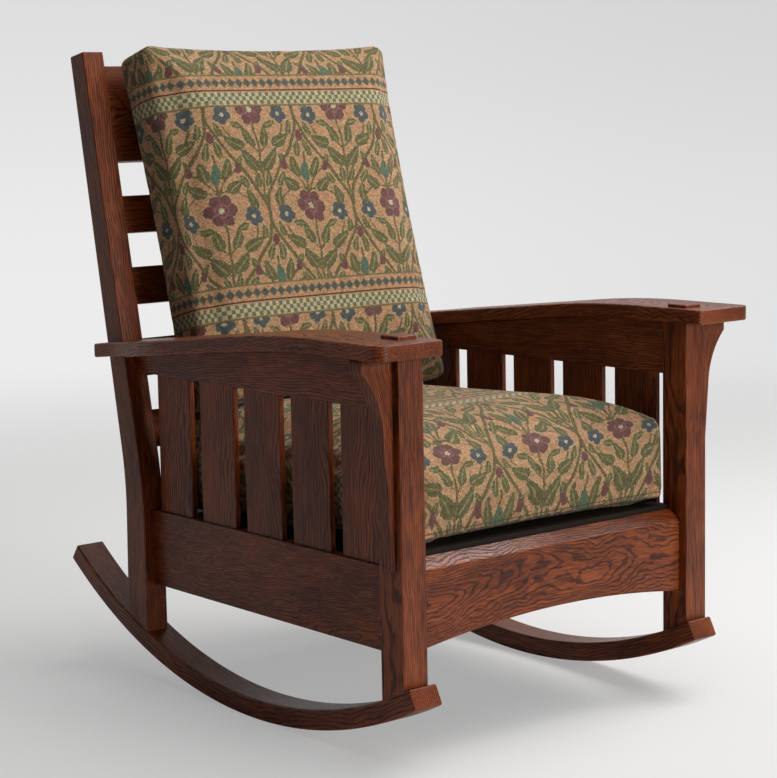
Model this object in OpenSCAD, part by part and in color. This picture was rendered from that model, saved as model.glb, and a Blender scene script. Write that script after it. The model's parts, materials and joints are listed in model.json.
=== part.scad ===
// Rocking armchair in oak: two curved runners, bowed arms on corbelled front posts,
// slatted sides, a leaning ladder back, a slatted seat deck and two loose cushions.
// Lengths are millimetres. The chair faces -Y, and its left arm is at +X, as its sitter has it.
// Heights are measured from the floor, and depths from the front faces of the front posts.

/* [Posts] */
// Half the width over the outer faces of the front posts
half_width = 307; // [285:1:330]
// Width of a front post, across the chair
front_post_w = 44.5; // [43:0.5:48]
// Depth of a front post, front to back
front_post_d = 50; // [49:0.5:54]
// Width of a rear post, across the chair
rear_post_w = 39; // [37:0.5:42]
// How far a rear post's outer face stands in from the front post's
rear_post_inset = 1.5; // [0.5:0.5:3]
// Depth at which the rear posts' front faces stand
rear_post_y = 654; // [644:1:664]
// Depth of a rear post at floor level, front to back
rear_post_foot = 60; // [56:0.5:64]
// Depth of a rear post at its bend, front to back
rear_post_knee = 51.6; // [49:0.2:54]
// Depth of a rear post at its head, front to back
rear_post_head = 40; // [38:0.5:44]
// Height of the bend's corner on a rear post's front face
knee_z = 318.7; // [312:0.1:325]
// How much higher the bend's corner lies on the rear face
knee_rise = 7.4; // [4:0.2:10]
// Length on each side of a bend's corner that the bend takes up
knee_reach = 55; // [40:1:58]
// Height of the head's front edge
head_z = 1016; // [1008:1:1030]
// Lean of the back from upright, in degrees
back_lean = 10.96; // [10:0.02:12]

/* [Runners] */
// Radius of the face that rolls on the floor
rocker_radius = 868; // [860:1:880]
// Thickness of a runner
runner_t = 31; // [29:0.5:33]
// Width of a runner, across the chair
runner_w = 51; // [50:0.5:54]
// Depth at which the runners touch the floor
rocker_y = 369; // [362:1:376]
// Angle from the touching point to a runner's front end, in degrees
front_tip_angle = 26.9; // [26.5:0.1:28]
// Angle from the touching point to a runner's rear end, in degrees
rear_tip_angle = 36.3; // [35:0.1:38]

/* [Arms] */
// Height of an arm's level front part
arm_z = 605.5; // [600:0.5:611]
// Thickness of an arm
arm_t = 22.2; // [20:0.2:24]
// How far an arm reaches in front of the front posts
arm_front = 35.5; // [30:0.5:40]
// How far an arm's inner edge stands in from the front post's outer face
arm_in = 52.3; // [50:0.1:56]
// How far an arm's outer edge stands out from the front post's outer face
arm_out = 61.4; // [58:0.1:66]
// How far the narrow tail beside the rear post stands out from the front post's outer face
arm_tail_out = 27; // [24:0.5:32]
// Depth at which the outer edge starts to step in to the tail
arm_step_y = 593; // [585:1:605]
// Depth of the tail's rear end
arm_end_y = 742; // [740:0.5:750]
// Depth of the corner where the arm's top bends down
arm_bow_y = 196; // [180:1:210]
// Length on each side of that corner that the bend takes up
arm_bow_reach = 95; // [80:1:110]
// Slope of the arm's rear part, in degrees
arm_slope = 6.05; // [5.5:0.05:6.5]
// Radius of the front outer corner, seen from above
arm_outer_radius = 16; // [12:0.5:20]
// Radius of the front inner corner, seen from above
arm_inner_radius = 5; // [3:0.5:7]

/* [Corbels] */
// Depth of a corbel, front to back
corbel_d = 26; // [22:0.5:30]
// How far a corbel stands out under the arm
corbel_top = 55; // [50:0.5:57]
// How far a corbel stands out where its hollow starts
corbel_waist = 20; // [18:0.5:22]
// How far a corbel stands out at its foot
corbel_foot = 3; // [2:0.5:5]
// Height of a corbel's foot
corbel_foot_z = 285; // [282:1:300]
// Height at which the hollow starts
corbel_waist_z = 490; // [482:1:494]
// Radius of the hollow
corbel_radius = 120; // [116:1:126]

/* [Side frames] */
// Thickness of the side rails
side_rail_t = 19; // [17:0.5:20]
// How far the side rails stand in from the front posts' outer faces
side_rail_inset = 20.5; // [19.5:0.5:21]
// Height of a lower side rail's bottom edge
lower_rail_z = 157; // [152:1:162]
// Height of a lower side rail, edge to edge
lower_rail_h = 123.5; // [118:0.5:126]
// Height of an upper side rail's bottom edge
upper_rail_z = 501.5; // [497:0.5:504]
// Width of a side slat
side_slat_w = 90; // [84:0.5:92]
// Thickness of a side slat
side_slat_t = 10; // [8:0.5:11]
// Gap between two side slats
side_slat_gap = 28.5; // [26:0.5:31]
// Gap between a front post and the first side slat
side_slat_start = 23; // [18:0.5:26]

/* [Seat frame] */
// Thickness of the front seat rail
front_rail_t = 21; // [19:0.5:22]
// How far the front seat rail stands back from the front posts' front faces
front_rail_inset = 13; // [11:0.5:14]
// Height of the front seat rail's face, at its top edge
front_rail_top = 277; // [274:0.5:279]
// Rise of the bevel along the front seat rail's top, front to back
front_rail_bevel = 17; // [14:0.5:21]
// Height of the front seat rail's ends above the floor
front_rail_foot = 165; // [160:1:170]
// Rise of the arch under the front seat rail
front_rail_arch = 20; // [16:0.5:24]
// Length left straight at each end of that arch
front_rail_heel = 4; // [2:0.5:8]
// Thickness of the rear seat rail
rear_rail_t = 20; // [18:0.5:22]
// How far the rear seat rail stands back from the rear posts' front faces
rear_rail_inset = 18; // [17:0.5:20]
// Height of the rear seat rail's bottom edge
rear_rail_z = 165; // [160:1:170]
// Height of the rear seat rail, edge to edge
rear_rail_h = 85; // [75:1:90]

/* [Back] */
// Distance along the lean from the bend's corner to the lowest back slat
back_slat_start = 62.6; // [60:0.2:64]
// Height of a back slat
back_slat_h = 61; // [58:0.5:62]
// Gap between two back slats
back_slat_gap = 56.2; // [55:0.2:57.4]
// Thickness of a back slat
back_slat_t = 13; // [11:0.5:14]
// How far the back slats stand in from the rear posts' front faces
back_slat_inset = 13; // [12:0.5:15]
// Height of the top rail
top_rail_h = 157.4; // [150:0.2:159]
// Thickness of the top rail
top_rail_t = 20; // [18:0.5:21]
// How far the top rail stands in from the rear posts' front faces
top_rail_inset = 10; // [8:0.5:11]

/* [Seat deck] */
// Height of the deck's top at its front edge
deck_z = 300; // [299:0.5:303]
// Slope of the deck down to the rear, in degrees
deck_slope = 2.46; // [2.2:0.02:2.8]
// Thickness of the deck's frame
deck_t = 20; // [18:0.5:21]
// Width of the deck's side bars
deck_side_w = 60; // [52:1:70]
// Width of the deck's front and rear bars
deck_end_w = 60; // [52:1:66]
// Width of a deck slat
deck_slat_w = 62; // [54:1:66]
// Thickness of a deck slat
deck_slat_t = 10; // [8:0.5:11]
// Width of the ledge that the deck slats lie on
deck_ledge = 25; // [20:1:30]
// Width of a cleat under the deck
cleat_w = 22; // [20:0.5:26]
// Height of a cleat under the deck
cleat_h = 26; // [24:0.5:30]

/* [Seat cushion] */
// Space on each side between the seat cushion and a front post
seat_side_gap = 2.5; // [2:0.5:10]
// How far the seat cushion laps past the deck's front edge
seat_lap = 4; // [1:0.5:8]
// Height of the seat cushion's border
seat_border = 140; // [132:1:144]
// Rise of the seat cushion's top above its border
seat_crown = 42; // [32:1:46]
// Radius of the seat cushion's long edges
seat_edge = 24; // [20:1:25]
// Radius of the seat cushion's corners, seen from above
seat_corner = 27; // [26:1:40]
// How far the seat cushion's sides are drawn in between the corners
seat_draw = 4; // [2:0.5:7]

/* [Back cushion] */
// Space on each side between the back cushion and an arm
back_side_gap = 8; // [6:0.5:16]
// Height of the back cushion, along its lean
back_h = 594.5; // [588:0.5:604]
// Thickness of the back cushion's border
back_border = 105; // [98:1:110]
// Rise of the back cushion's front and rear above its border
back_crown = 24; // [18:1:27]
// Lean of the back cushion from upright, in degrees
cushion_lean = 15.7; // [15:0.1:16.5]
// Radius of the back cushion's long edges
back_edge = 26; // [23:1:28]
// Radius of the back cushion's corners, seen from the front
back_corner = 30; // [29:1:42]
// How far the back cushion's sides are drawn in between the corners
back_draw = 4; // [2:0.5:7]
// Thickness of the back cushion's cover and batting, round the hollow for its loose filling
back_wall = 10; // [8:0.5:14]

/* [Joinery] */
// Thickness of the rails' tenons
tenon_t = 9.5; // [8:0.5:10]
// Length of the side rails' tenons in the front posts
front_end_tenon = 18; // [15:0.5:18.5]
// Length of a lower side rail's tenon in the rear post
rear_end_tenon = 15; // [12:0.5:16]
// Length of an upper side rail's tenon in the rear post
upper_end_tenon = 10; // [8:0.5:11]
// Length of the front seat rail's tenons
front_rail_tenon = 26; // [22:0.5:28]
// Depth that the ends of the back's boards and of the rear seat rail are let into the posts
board_let = 16; // [12:0.5:18]
// Depth that a side slat's ends are let into the rails
slat_let = 8; // [6:0.5:10]
// Height of the shoulders above and below a rail's tenon
shoulder = 9; // [6:0.5:12]
// Height of the shoulders above and below an upper side rail's rear tenon
small_shoulder = 4.5; // [3:0.5:6]
// Clearance all round a tenon in its mortise, for glue
glue_gap = 0.15; // [0.1:0.05:0.3]
// Width of a front post's tenon through the arm
arm_tenon_w = 34; // [30:0.5:36]
// Depth of a front post's tenon through the arm
arm_tenon_d = 38; // [34:0.5:40]
// How far that tenon stands proud of the arm
arm_tenon_proud = 5; // [3.5:0.5:7]
// Chamfer round that tenon's top
arm_tenon_chamfer = 2.5; // [1:0.5:3]
// Width of a post's tenon in a runner
foot_tenon_w = 16; // [14:0.5:18]
// Depth of a post's tenon in a runner, front to back
foot_tenon_d = 26; // [22:0.5:30]
// Wood left under a post's tenon in a runner
foot_tenon_floor = 9; // [7:0.5:11]
// Diameter of a dowel
dowel_d = 8; // [6:0.5:9]
// Length of a dowel
dowel_l = 30; // [24:1:32]
// Distance from an arm's underside down to the upper dowel in a corbel
corbel_dowel_drop = 28; // [22:1:34]
// Distance between the two dowels in a corbel
corbel_dowel_pitch = 55; // [45:1:65]
// Diameter of a screw's shank
screw_d = 4.5; // [4:0.5:5]
// Diameter of a screw's head
screw_head_d = 8.5; // [7:0.5:9]
// Height of a screw's head
screw_head_h = 3; // [2:0.5:4]
// Length of a screw
screw_l = 34; // [30:1:36]

/* [Hidden] */
$fn = 96;
// Facets of an arc with a large radius
fine = 720;

dark_oak = [0.25, 0.12, 0.08];
red_oak = [0.36, 0.17, 0.10];
plain_oak = [0.55, 0.38, 0.24];
steel = [0.6, 0.6, 0.62];
tapestry = [0.62, 0.53, 0.38];

// Number of slats on one side, in the back and in the deck
side_slats = 5;
back_slats = 4;
deck_slats = 5;
// Overrun of a cutting solid past the face that it cuts, and of a tenon into its own piece
over = 1;
// Clearance between a loose piece and what it lies on or stands beside
rest_gap = 0.3;
deck_gap = 1.5;

// Faces of the posts and rails, on the chair's left
front_post_in = half_width - front_post_w;
front_post_x = half_width - front_post_w / 2;
front_post_mid = front_post_d / 2;
rear_post_out = half_width - rear_post_inset;
rear_post_in = rear_post_out - rear_post_w;
rear_post_x = rear_post_out - rear_post_w / 2;
side_rail_out = half_width - side_rail_inset;
side_rail_in = side_rail_out - side_rail_t;
side_rail_x = side_rail_out - side_rail_t / 2;
lower_rail_top = lower_rail_z + lower_rail_h;
front_rail_back = front_rail_inset + front_rail_t;
arm_under = arm_z - arm_t;

// Runners: their inner radius, and half the depth between the arms' fronts and their rear tips
runner_in = rocker_radius - runner_t;
rear_tip_y = rocker_y + rocker_radius * sin(rear_tip_angle);
mid_y = (rear_tip_y - arm_front) / 2;

// Directions and corners in the side view, as [depth, height]
lean_up = [sin(back_lean), cos(back_lean)];
lean_back = [cos(back_lean), -sin(back_lean)];
knee_front = [rear_post_y, knee_z];
knee_back = knee_front + [rear_post_knee, knee_rise];
head_front = knee_front + (head_z - knee_z) / cos(back_lean) * lean_up;
head_back = head_front + rear_post_head * lean_back;
foot_front = [rear_post_y, 0];
foot_back = [rear_post_y + rear_post_foot, 0];

// An arm's top and underside in the side view: level, then sloping down to the rear
bow_drop = arm_t * tan(arm_slope / 2);
arm_run = arm_end_y + arm_front;
bow_top = [arm_bow_y, arm_z];
bow_under = [arm_bow_y - bow_drop, arm_under];
tail_top = bow_top + arm_run * [1, -tan(arm_slope)];
tail_under = bow_under + arm_run * [1, -tan(arm_slope)];

// Depth of a rear post's front face at a height above the bend
function lean_y(z) = rear_post_y + (z - knee_z) * tan(back_lean);
// Height of an arm's underside at a depth behind its bow
function arm_under_at(y) = arm_under - (y - bow_under[0]) * tan(arm_slope);
// Height, at a depth, of an arc about the runners' centre
function arc_z(radius, y) = rocker_radius - sqrt(pow(radius, 2) - pow(y - rocker_y, 2));
function unit(v) = v / norm(v);
// How far a crowned face rises past a line that starts at its border and has this slope
function crown_gain(crown, half, slope) =
    let (share = min(1, pow(slope * half / (4 * crown), 1 / 3)))
    crown * (1 - pow(share, 4)) - slope * half * (1 - share);

// Moves a piece that is placed from the front posts to the part's own origin
module in_chair() {
    translate([0, -mid_y, 0]) children();
}

// A piece's twin on the chair's right
module right_twin() {
    mirror([1, 0, 0]) children();
}

// Extrudes a side view, drawn as [depth, height], across the chair from x
module across(x, w) {
    translate([x, 0, 0]) rotate([90, 0, 90]) linear_extrude(height = w) children();
}

// Extrudes a front view, drawn as [x, height], rearwards from depth y
module rearwards(y, d) {
    translate([0, y + d, 0]) rotate([90, 0, 0]) linear_extrude(height = d) children();
}

// A box between two corners
module box(low, high) {
    translate(low) cube(high - low);
}

// What lies between a sharp corner and the arc that rounds it, which starts at this reach
module corner_sliver(before, corner, after, corner_reach) {
    u = unit(before - corner);
    v = unit(after - corner);
    half_angle = acos(u * v) / 2;
    centre = corner + unit(u + v) * corner_reach / cos(half_angle);
    difference() {
        polygon([corner + corner_reach * u, corner, corner + corner_reach * v]);
        translate(centre) circle(r = corner_reach * tan(half_angle), $fn = fine);
    }
}

// A tenon across a glued joint: a box, grown all round by the gap where it cuts a mortise
module tenon(low, high, gap) {
    grow = [gap, gap, gap];
    box(low - grow, high + grow);
}

// Runners

// A post's tenon in a runner
module foot_tenon(x, y, gap) {
    front = y - foot_tenon_d / 2;
    back = y + foot_tenon_d / 2;
    low = max(arc_z(rocker_radius, front), arc_z(rocker_radius, back)) + foot_tenon_floor;
    high = max(arc_z(runner_in, front), arc_z(runner_in, back)) + over;
    tenon([x - foot_tenon_w / 2, front, low], [x + foot_tenon_w / 2, back, high], gap);
}

module front_foot_tenon(gap) {
    foot_tenon(front_post_x, front_post_mid, gap);
}

module rear_foot_tenon(gap) {
    foot_tenon(rear_post_x, rear_post_y + rear_post_foot / 2, gap);
}

// The wedge of a disc between a runner's two ends, with its point at the runners' centre
module runner_wedge() {
    side = rocker_radius / cos((front_tip_angle + rear_tip_angle) / 2) + over;
    polygon([[0, 0], side * [-sin(front_tip_angle), -cos(front_tip_angle)],
        side * [sin(rear_tip_angle), -cos(rear_tip_angle)]]);
}

module runner() {
    difference() {
        across(half_width - runner_w, runner_w)
            translate([rocker_y, rocker_radius])
            intersection() {
                difference() {
                    circle(r = rocker_radius, $fn = fine);
                    circle(r = runner_in, $fn = fine);
                }
                runner_wedge();
            }
        front_foot_tenon(glue_gap);
        rear_foot_tenon(glue_gap);
    }
}

// All that lies above a left runner's upper face
module over_runner() {
    across(0, half_width + over)
        translate([rocker_y, rocker_radius]) circle(r = runner_in, $fn = fine);
}

// Posts

module lower_rail_tenons(gap) {
    low = lower_rail_z + shoulder;
    high = lower_rail_top - shoulder;
    x = side_rail_x - tenon_t / 2;
    tenon([x, front_post_d - front_end_tenon, low], [x + tenon_t, front_post_d + over, high], gap);
    tenon([x, rear_post_y - over, low], [x + tenon_t, rear_post_y + rear_end_tenon, high], gap);
}

upper_rail_y = lean_y(upper_rail_z);
module upper_rail_tenons(gap) {
    low = upper_rail_z + small_shoulder;
    x = side_rail_x - tenon_t / 2;
    tenon([x, front_post_d - front_end_tenon, low],
        [x + tenon_t, front_post_d + over, arm_under - shoulder], gap);
    tenon([x, upper_rail_y - over, low],
        [x + tenon_t, upper_rail_y + upper_end_tenon, arm_under_at(upper_rail_y) - small_shoulder], gap);
}

module front_rail_tenon_end(gap) {
    y = front_rail_inset + (front_rail_t - tenon_t) / 2;
    tenon([front_post_in - over, y, front_rail_foot + shoulder],
        [front_post_in + front_rail_tenon, y + tenon_t, front_rail_top - shoulder], gap);
}

module corbel_dowel_pair(gap) {
    for (drop = [corbel_dowel_drop, corbel_dowel_drop + corbel_dowel_pitch])
        translate([half_width - dowel_l / 2 - gap, front_post_mid, arm_under - drop])
        rotate([0, 90, 0]) cylinder(d = dowel_d + 2 * gap, h = dowel_l + 2 * gap);
}

// A front post's tenon through the arm, seen from one side, with its chamfered top
module arm_tenon_view(middle, w) {
    top = arm_z + arm_tenon_proud;
    low = arm_under - over;
    side = w / 2;
    c = arm_tenon_chamfer;
    translate([middle, 0])
        polygon([[-side, low], [side, low], [side, top - c], [side - c, top],
            [c - side, top], [-side, top - c]]);
}

module arm_tenon() {
    intersection() {
        across(front_post_in, front_post_w) arm_tenon_view(front_post_mid, arm_tenon_d);
        rearwards(0, front_post_d) arm_tenon_view(front_post_x, arm_tenon_w);
    }
}

module arm_mortise() {
    x = front_post_x - arm_tenon_w / 2;
    y = front_post_mid - arm_tenon_d / 2;
    tenon([x, y, arm_under - over], [x + arm_tenon_w, y + arm_tenon_d, arm_z + over], glue_gap);
}

module front_post() {
    difference() {
        union() {
            intersection() {
                box([front_post_in, 0, 0], [half_width, front_post_d, arm_under]);
                over_runner();
            }
            front_foot_tenon(0);
            arm_tenon();
        }
        lower_rail_tenons(glue_gap);
        upper_rail_tenons(glue_gap);
        front_rail_tenon_end(glue_gap);
        corbel_dowel_pair(glue_gap);
    }
}

// A rear post seen from the side, from the floor to its head
module rear_post_outline() {
    difference() {
        union() {
            polygon([foot_front, knee_front, head_front, head_back, knee_back, foot_back]);
            corner_sliver(foot_back, knee_back, head_back, knee_reach);
        }
        corner_sliver(foot_front, knee_front, head_front, knee_reach);
    }
}

module rear_post() {
    difference() {
        union() {
            intersection() {
                across(rear_post_in, rear_post_w) rear_post_outline();
                over_runner();
            }
            rear_foot_tenon(0);
        }
        lower_rail_tenons(glue_gap);
        upper_rail_tenons(glue_gap);
        rear_rail(glue_gap);
        top_rail(glue_gap);
        for (k = [1 : back_slats])
            back_slat(k, glue_gap);
        arm_dowel(glue_gap);
    }
}

// Boards of the back

// The frame of the leaning back: Z along the lean, Y square to it, from the bend's corner
module in_lean() {
    translate([0, rear_post_y, knee_z]) rotate([-back_lean, 0, 0]) children();
}

function back_slat_low(k) = back_slat_start + (k - 1) * (back_slat_h + back_slat_gap);

module back_slat(k, gap) {
    end = rear_post_in + board_let;
    low = back_slat_low(k);
    in_lean()
        tenon([-end, back_slat_inset, low], [end, back_slat_inset + back_slat_t, low + back_slat_h], gap);
}

module top_rail(gap) {
    end = rear_post_in + board_let;
    low = back_slat_low(back_slats + 1);
    in_lean()
        tenon([-end, top_rail_inset, low], [end, top_rail_inset + top_rail_t, low + top_rail_h], gap);
}

// Arms

arm_dowel_y = arm_end_y - arm_t - dowel_d / 2;
module arm_dowel(gap) {
    translate([rear_post_out - dowel_l / 2 - gap, arm_dowel_y, arm_under_at(arm_dowel_y) + arm_t / 2])
        rotate([0, 90, 0]) cylinder(d = dowel_d + 2 * gap, h = dowel_l + 2 * gap);
}

// An arm seen from the side, running past its ends
module arm_view() {
    front_top = [-arm_front - over, arm_z];
    front_under = [-arm_front - over, arm_under];
    difference() {
        union() {
            polygon([front_under, front_top, bow_top, tail_top, tail_under, bow_under]);
            corner_sliver(front_under, bow_under, tail_under, arm_bow_reach - bow_drop);
        }
        corner_sliver(front_top, bow_top, tail_top, arm_bow_reach);
    }
}

// An arm seen from above, as [x, depth]
module arm_plan() {
    inner = half_width - arm_in;
    outer = half_width + arm_out;
    tail = half_width + arm_tail_out;
    notch_y = lean_y(arm_z);
    front_inner = [inner, -arm_front];
    front_outer = [outer, -arm_front];
    step_outer = [outer, arm_step_y];
    back_inner = [inner, notch_y];
    difference() {
        polygon([front_inner, front_outer, step_outer, [tail, arm_step_y + outer - tail],
            [tail, arm_end_y], [rear_post_out, arm_end_y], [rear_post_out, notch_y], back_inner]);
        corner_sliver(front_inner, front_outer, step_outer, arm_outer_radius);
        corner_sliver(back_inner, front_inner, front_outer, arm_inner_radius);
    }
}

module arm() {
    difference() {
        intersection() {
            across(0, half_width + arm_out + over) arm_view();
            linear_extrude(height = head_z) arm_plan();
        }
        across(0, rear_post_out) rear_post_outline();
        arm_mortise();
        arm_dowel(glue_gap);
    }
}

// Side frames

// All that lies under an arm, seen from the side
module under_arm() {
    start = [0, arm_under];
    difference() {
        polygon([[0, 0], start, bow_under, tail_under, [tail_under[0], 0]]);
        corner_sliver(start, bow_under, tail_under, arm_bow_reach - bow_drop);
    }
}

module side_slat(k, gap) {
    x = side_rail_x - side_slat_t / 2;
    y = front_post_d + side_slat_start + (k - 1) * (side_slat_w + side_slat_gap);
    tenon([x, y, lower_rail_top - slat_let],
        [x + side_slat_t, y + side_slat_w, upper_rail_z + slat_let], gap);
}

module side_slat_slots() {
    for (k = [1 : side_slats])
        side_slat(k, glue_gap);
}

module upper_side_rail() {
    difference() {
        union() {
            across(side_rail_in, side_rail_t)
                intersection() {
                    polygon([[front_post_d, upper_rail_z], [upper_rail_y, upper_rail_z],
                        [lean_y(arm_z), arm_z], [front_post_d, arm_z]]);
                    under_arm();
                }
            upper_rail_tenons(0);
        }
        side_slat_slots();
    }
}

module lower_side_rail() {
    difference() {
        union() {
            box([side_rail_in, front_post_d, lower_rail_z], [side_rail_out, rear_post_y, lower_rail_top]);
            lower_rail_tenons(0);
        }
        side_slat_slots();
        cleat_screw_row(glue_gap);
    }
}

// Corbels

// A corbel seen from the front, as [distance from the post's outer face, height]
module corbel_outline() {
    foot = [corbel_foot, corbel_foot_z];
    waist = [corbel_waist, corbel_waist_z];
    up = unit(waist - foot);
    centre = waist + corbel_radius * [up[1], -up[0]];
    rise = sqrt(pow(corbel_radius, 2) - pow(centre[0] - corbel_top, 2));
    lip = [corbel_top, centre[1] + rise];
    difference() {
        polygon([[0, corbel_foot_z], foot, waist, lip, [corbel_top, arm_under], [0, arm_under]]);
        intersection() {
            translate(centre) circle(r = corbel_radius, $fn = fine);
            polygon([waist, lip, [lip[0], waist[1]]]);
            translate([0, waist[1]]) square([lip[0] + over, lip[1] - waist[1]]);
        }
    }
}

module corbel() {
    difference() {
        rearwards(front_post_mid - corbel_d / 2, corbel_d)
            translate([half_width, 0]) corbel_outline();
        corbel_dowel_pair(glue_gap);
    }
}

// Seat rails

module front_rail_outline() {
    polygon([[front_rail_inset, front_rail_foot], [front_rail_inset, front_rail_top],
        [front_rail_back, front_rail_top + front_rail_bevel], [front_rail_back, front_rail_foot]]);
}

module front_rail() {
    arch_half = front_post_in - front_rail_heel;
    arch_radius = (pow(arch_half, 2) + pow(front_rail_arch, 2)) / (2 * front_rail_arch);
    difference() {
        across(-front_post_in, 2 * front_post_in) front_rail_outline();
        rearwards(front_rail_inset - over, front_rail_t + 2 * over)
            translate([0, front_rail_foot + front_rail_arch - arch_radius])
            circle(r = arch_radius, $fn = fine);
    }
    front_rail_tenon_end(0);
    right_twin() front_rail_tenon_end(0);
}

module rear_rail(gap) {
    end = rear_post_in + board_let;
    y = rear_post_y + rear_rail_inset;
    tenon([-end, y, rear_rail_z], [end, y + rear_rail_t, rear_rail_z + rear_rail_h], gap);
}

// Seat deck

// The deck's own frame: Y runs down the slope from the top front edge, Z stands square to it
deck_y = front_rail_back + deck_gap;
deck_half = front_post_in - deck_gap;
deck_l = (rear_post_y - deck_gap - deck_y) / cos(deck_slope);
deck_inner = deck_half - deck_side_w;
module in_deck() {
    translate([0, deck_y, deck_z]) rotate([-deck_slope, 0, 0]) children();
}

// A screw that points along +Z from its head's top
module screw(gap) {
    translate([0, 0, -gap]) cylinder(d = screw_head_d + 2 * gap, h = screw_head_h + 2 * gap);
    cylinder(d = screw_d + 2 * gap, h = screw_l + gap);
}

cleat_screw_shares = [0.1, 0.5, 0.9];
module cleat_screw_row(gap) {
    in_deck()
        for (share = cleat_screw_shares)
            translate([side_rail_in - cleat_w, share * deck_l, -deck_t - cleat_h / 2])
            rotate([0, 90, 0]) screw(gap);
}

deck_screw_shares = [0.2, 0.8];
module deck_screw_row(gap) {
    in_deck()
        for (share = deck_screw_shares)
            translate([(side_rail_in - cleat_w + deck_half) / 2, share * deck_l, 0])
            rotate([180, 0, 0]) screw(gap);
}

module seat_cleat() {
    difference() {
        in_deck()
            box([side_rail_in - cleat_w, side_slat_start, -deck_t - cleat_h],
                [side_rail_in, deck_l - side_slat_start, -deck_t]);
        cleat_screw_row(glue_gap);
        deck_screw_row(glue_gap);
    }
}

module deck_bar_tenon(y, gap) {
    low = -(deck_t + tenon_t) / 2;
    tenon([deck_inner - over, y + shoulder, low],
        [deck_inner + board_let, y + deck_end_w - shoulder, low + tenon_t], gap);
}

module deck_side_bar() {
    difference() {
        in_deck()
            difference() {
                box([deck_inner, 0, -deck_t], [deck_half, deck_l, 0]);
                box([deck_inner - over, deck_end_w, -deck_slat_t],
                    [deck_inner + deck_ledge, deck_l - deck_end_w, over]);
                deck_bar_tenon(0, glue_gap);
                deck_bar_tenon(deck_l - deck_end_w, glue_gap);
            }
        deck_screw_row(glue_gap);
    }
}

module deck_end_bar(y) {
    in_deck() {
        box([-deck_inner, y, -deck_t], [deck_inner, y + deck_end_w, 0]);
        deck_bar_tenon(y, 0);
        right_twin() deck_bar_tenon(y, 0);
    }
}

deck_field = deck_l - 2 * deck_end_w;
deck_slat_gap = (deck_field - deck_slats * deck_slat_w) / (deck_slats + 1);
module deck_slat(k) {
    end = deck_inner + deck_ledge - glue_gap;
    y = deck_end_w + deck_slat_gap + (k - 1) * (deck_slat_w + deck_slat_gap);
    in_deck() box([-end, y, -deck_slat_t], [end, y + deck_slat_w, 0]);
}

// Cushions

// Where a cushion's points lie along a straight side, round a corner, over a long edge and
// over a crown
side_shares = [0.17, 0.38, 0.62, 0.83];
corner_angles = [0, 22.5, 45, 67.5, 90];
edge_angles = [0, 30, 60, 90];
crown_shares = [0.27, 0.5, 0.7, 0.86];

// A quarter of a ring, from the middle stretch of the side at a / 2 round the next corner
function quarter(a, b, corner, draw) = concat(
    [for (share = side_shares)
        let (along = 2 * share - 1)
        [a / 2 - draw * (1 - along * along), along * (b / 2 - corner)]],
    [for (angle = corner_angles)
        [a / 2 - corner + corner * cos(angle), b / 2 - corner + corner * sin(angle)]]);

// One ring of points at height z: a rounded rectangle with sides drawn in between the corners
function ring(w, d, inset, corner, draw, z) = [
    for (turn = [0 : 3])
        let (a = turn % 2 == 0 ? w : d, b = turn % 2 == 0 ? d : w)
        for (p = quarter(a - 2 * inset, b - 2 * inset, corner - inset, draw))
            [p[0] * cos(90 * turn) - p[1] * sin(90 * turn),
                p[0] * sin(90 * turn) + p[1] * cos(90 * turn), z]];

// A ring on a crowned face, scaled towards the middle by a share
function crown_ring(w, d, edge, corner, draw, share, z, rise) =
    ring(w * share, d * share, edge * share, corner * share, draw * share,
        z + rise * (1 - pow(share, 4)));

// A loose cushion lying flat, w by d by h, with rounded long edges and a crown on its top and
// underside. The middle of its underside's border is the origin.
module cushion(w, d, h, top_crown, low_crown, edge, corner, draw) {
    n = 4 * (len(side_shares) + len(corner_angles));
    rings = concat(
        [for (share = crown_shares) crown_ring(w, d, edge, corner, draw, share, 0, -low_crown)],
        [for (a = edge_angles)
            ring(w, d, edge * (1 - sin(a)), corner, draw, edge * (1 - cos(a)))],
        [for (a = edge_angles)
            ring(w, d, edge * (1 - cos(a)), corner, draw, h - edge * (1 - sin(a)))],
        [for (i = [len(crown_shares) - 1 : -1 : 0])
            crown_ring(w, d, edge, corner, draw, crown_shares[i], h, top_crown)]);
    last = len(rings) - 1;
    low_pole = len(rings) * n;
    top_pole = low_pole + 1;
    points = concat([for (r = rings) each r], [[0, 0, -low_crown], [0, 0, h + top_crown]]);
    sides = [for (r = [0 : last - 1]) for (i = [0 : n - 1])
        let (a = r * n + i, b = r * n + (i + 1) % n)
        each [[a, b + n, b], [a, a + n, b + n]]];
    low_cap = [for (i = [0 : n - 1]) [low_pole, i, (i + 1) % n]];
    top_cap = [for (i = [0 : n - 1]) [top_pole, last * n + (i + 1) % n, last * n + i]];
    polyhedron(points = points, faces = concat(sides, low_cap, top_cap), convexity = 4);
}

seat_w = 2 * (front_post_in - seat_side_gap);
seat_d = deck_l + seat_lap;
back_w = 2 * (half_width - arm_in - back_side_gap);

// Directions of the back cushion in the side view: up along its lean and out of its front
cushion_up = [sin(cushion_lean), cos(cushion_lean)];
cushion_out = [-cos(cushion_lean), sin(cushion_lean)];
// Line of its sole: past the rear border of the seat cushion, lifted clear of the crown
sole_slope = tan(cushion_lean - deck_slope);
sole_half = seat_d / 2 - seat_edge;
sole_rise = crown_gain(seat_crown, sole_half, sole_slope);
sole_along = seat_d - seat_lap - seat_edge;
sole_up = seat_border + sole_rise + 2 * rest_gap;
sole = [deck_y, deck_z] + sole_along * [cos(deck_slope), -sin(deck_slope)]
    + sole_up * [sin(deck_slope), cos(deck_slope)];
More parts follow.
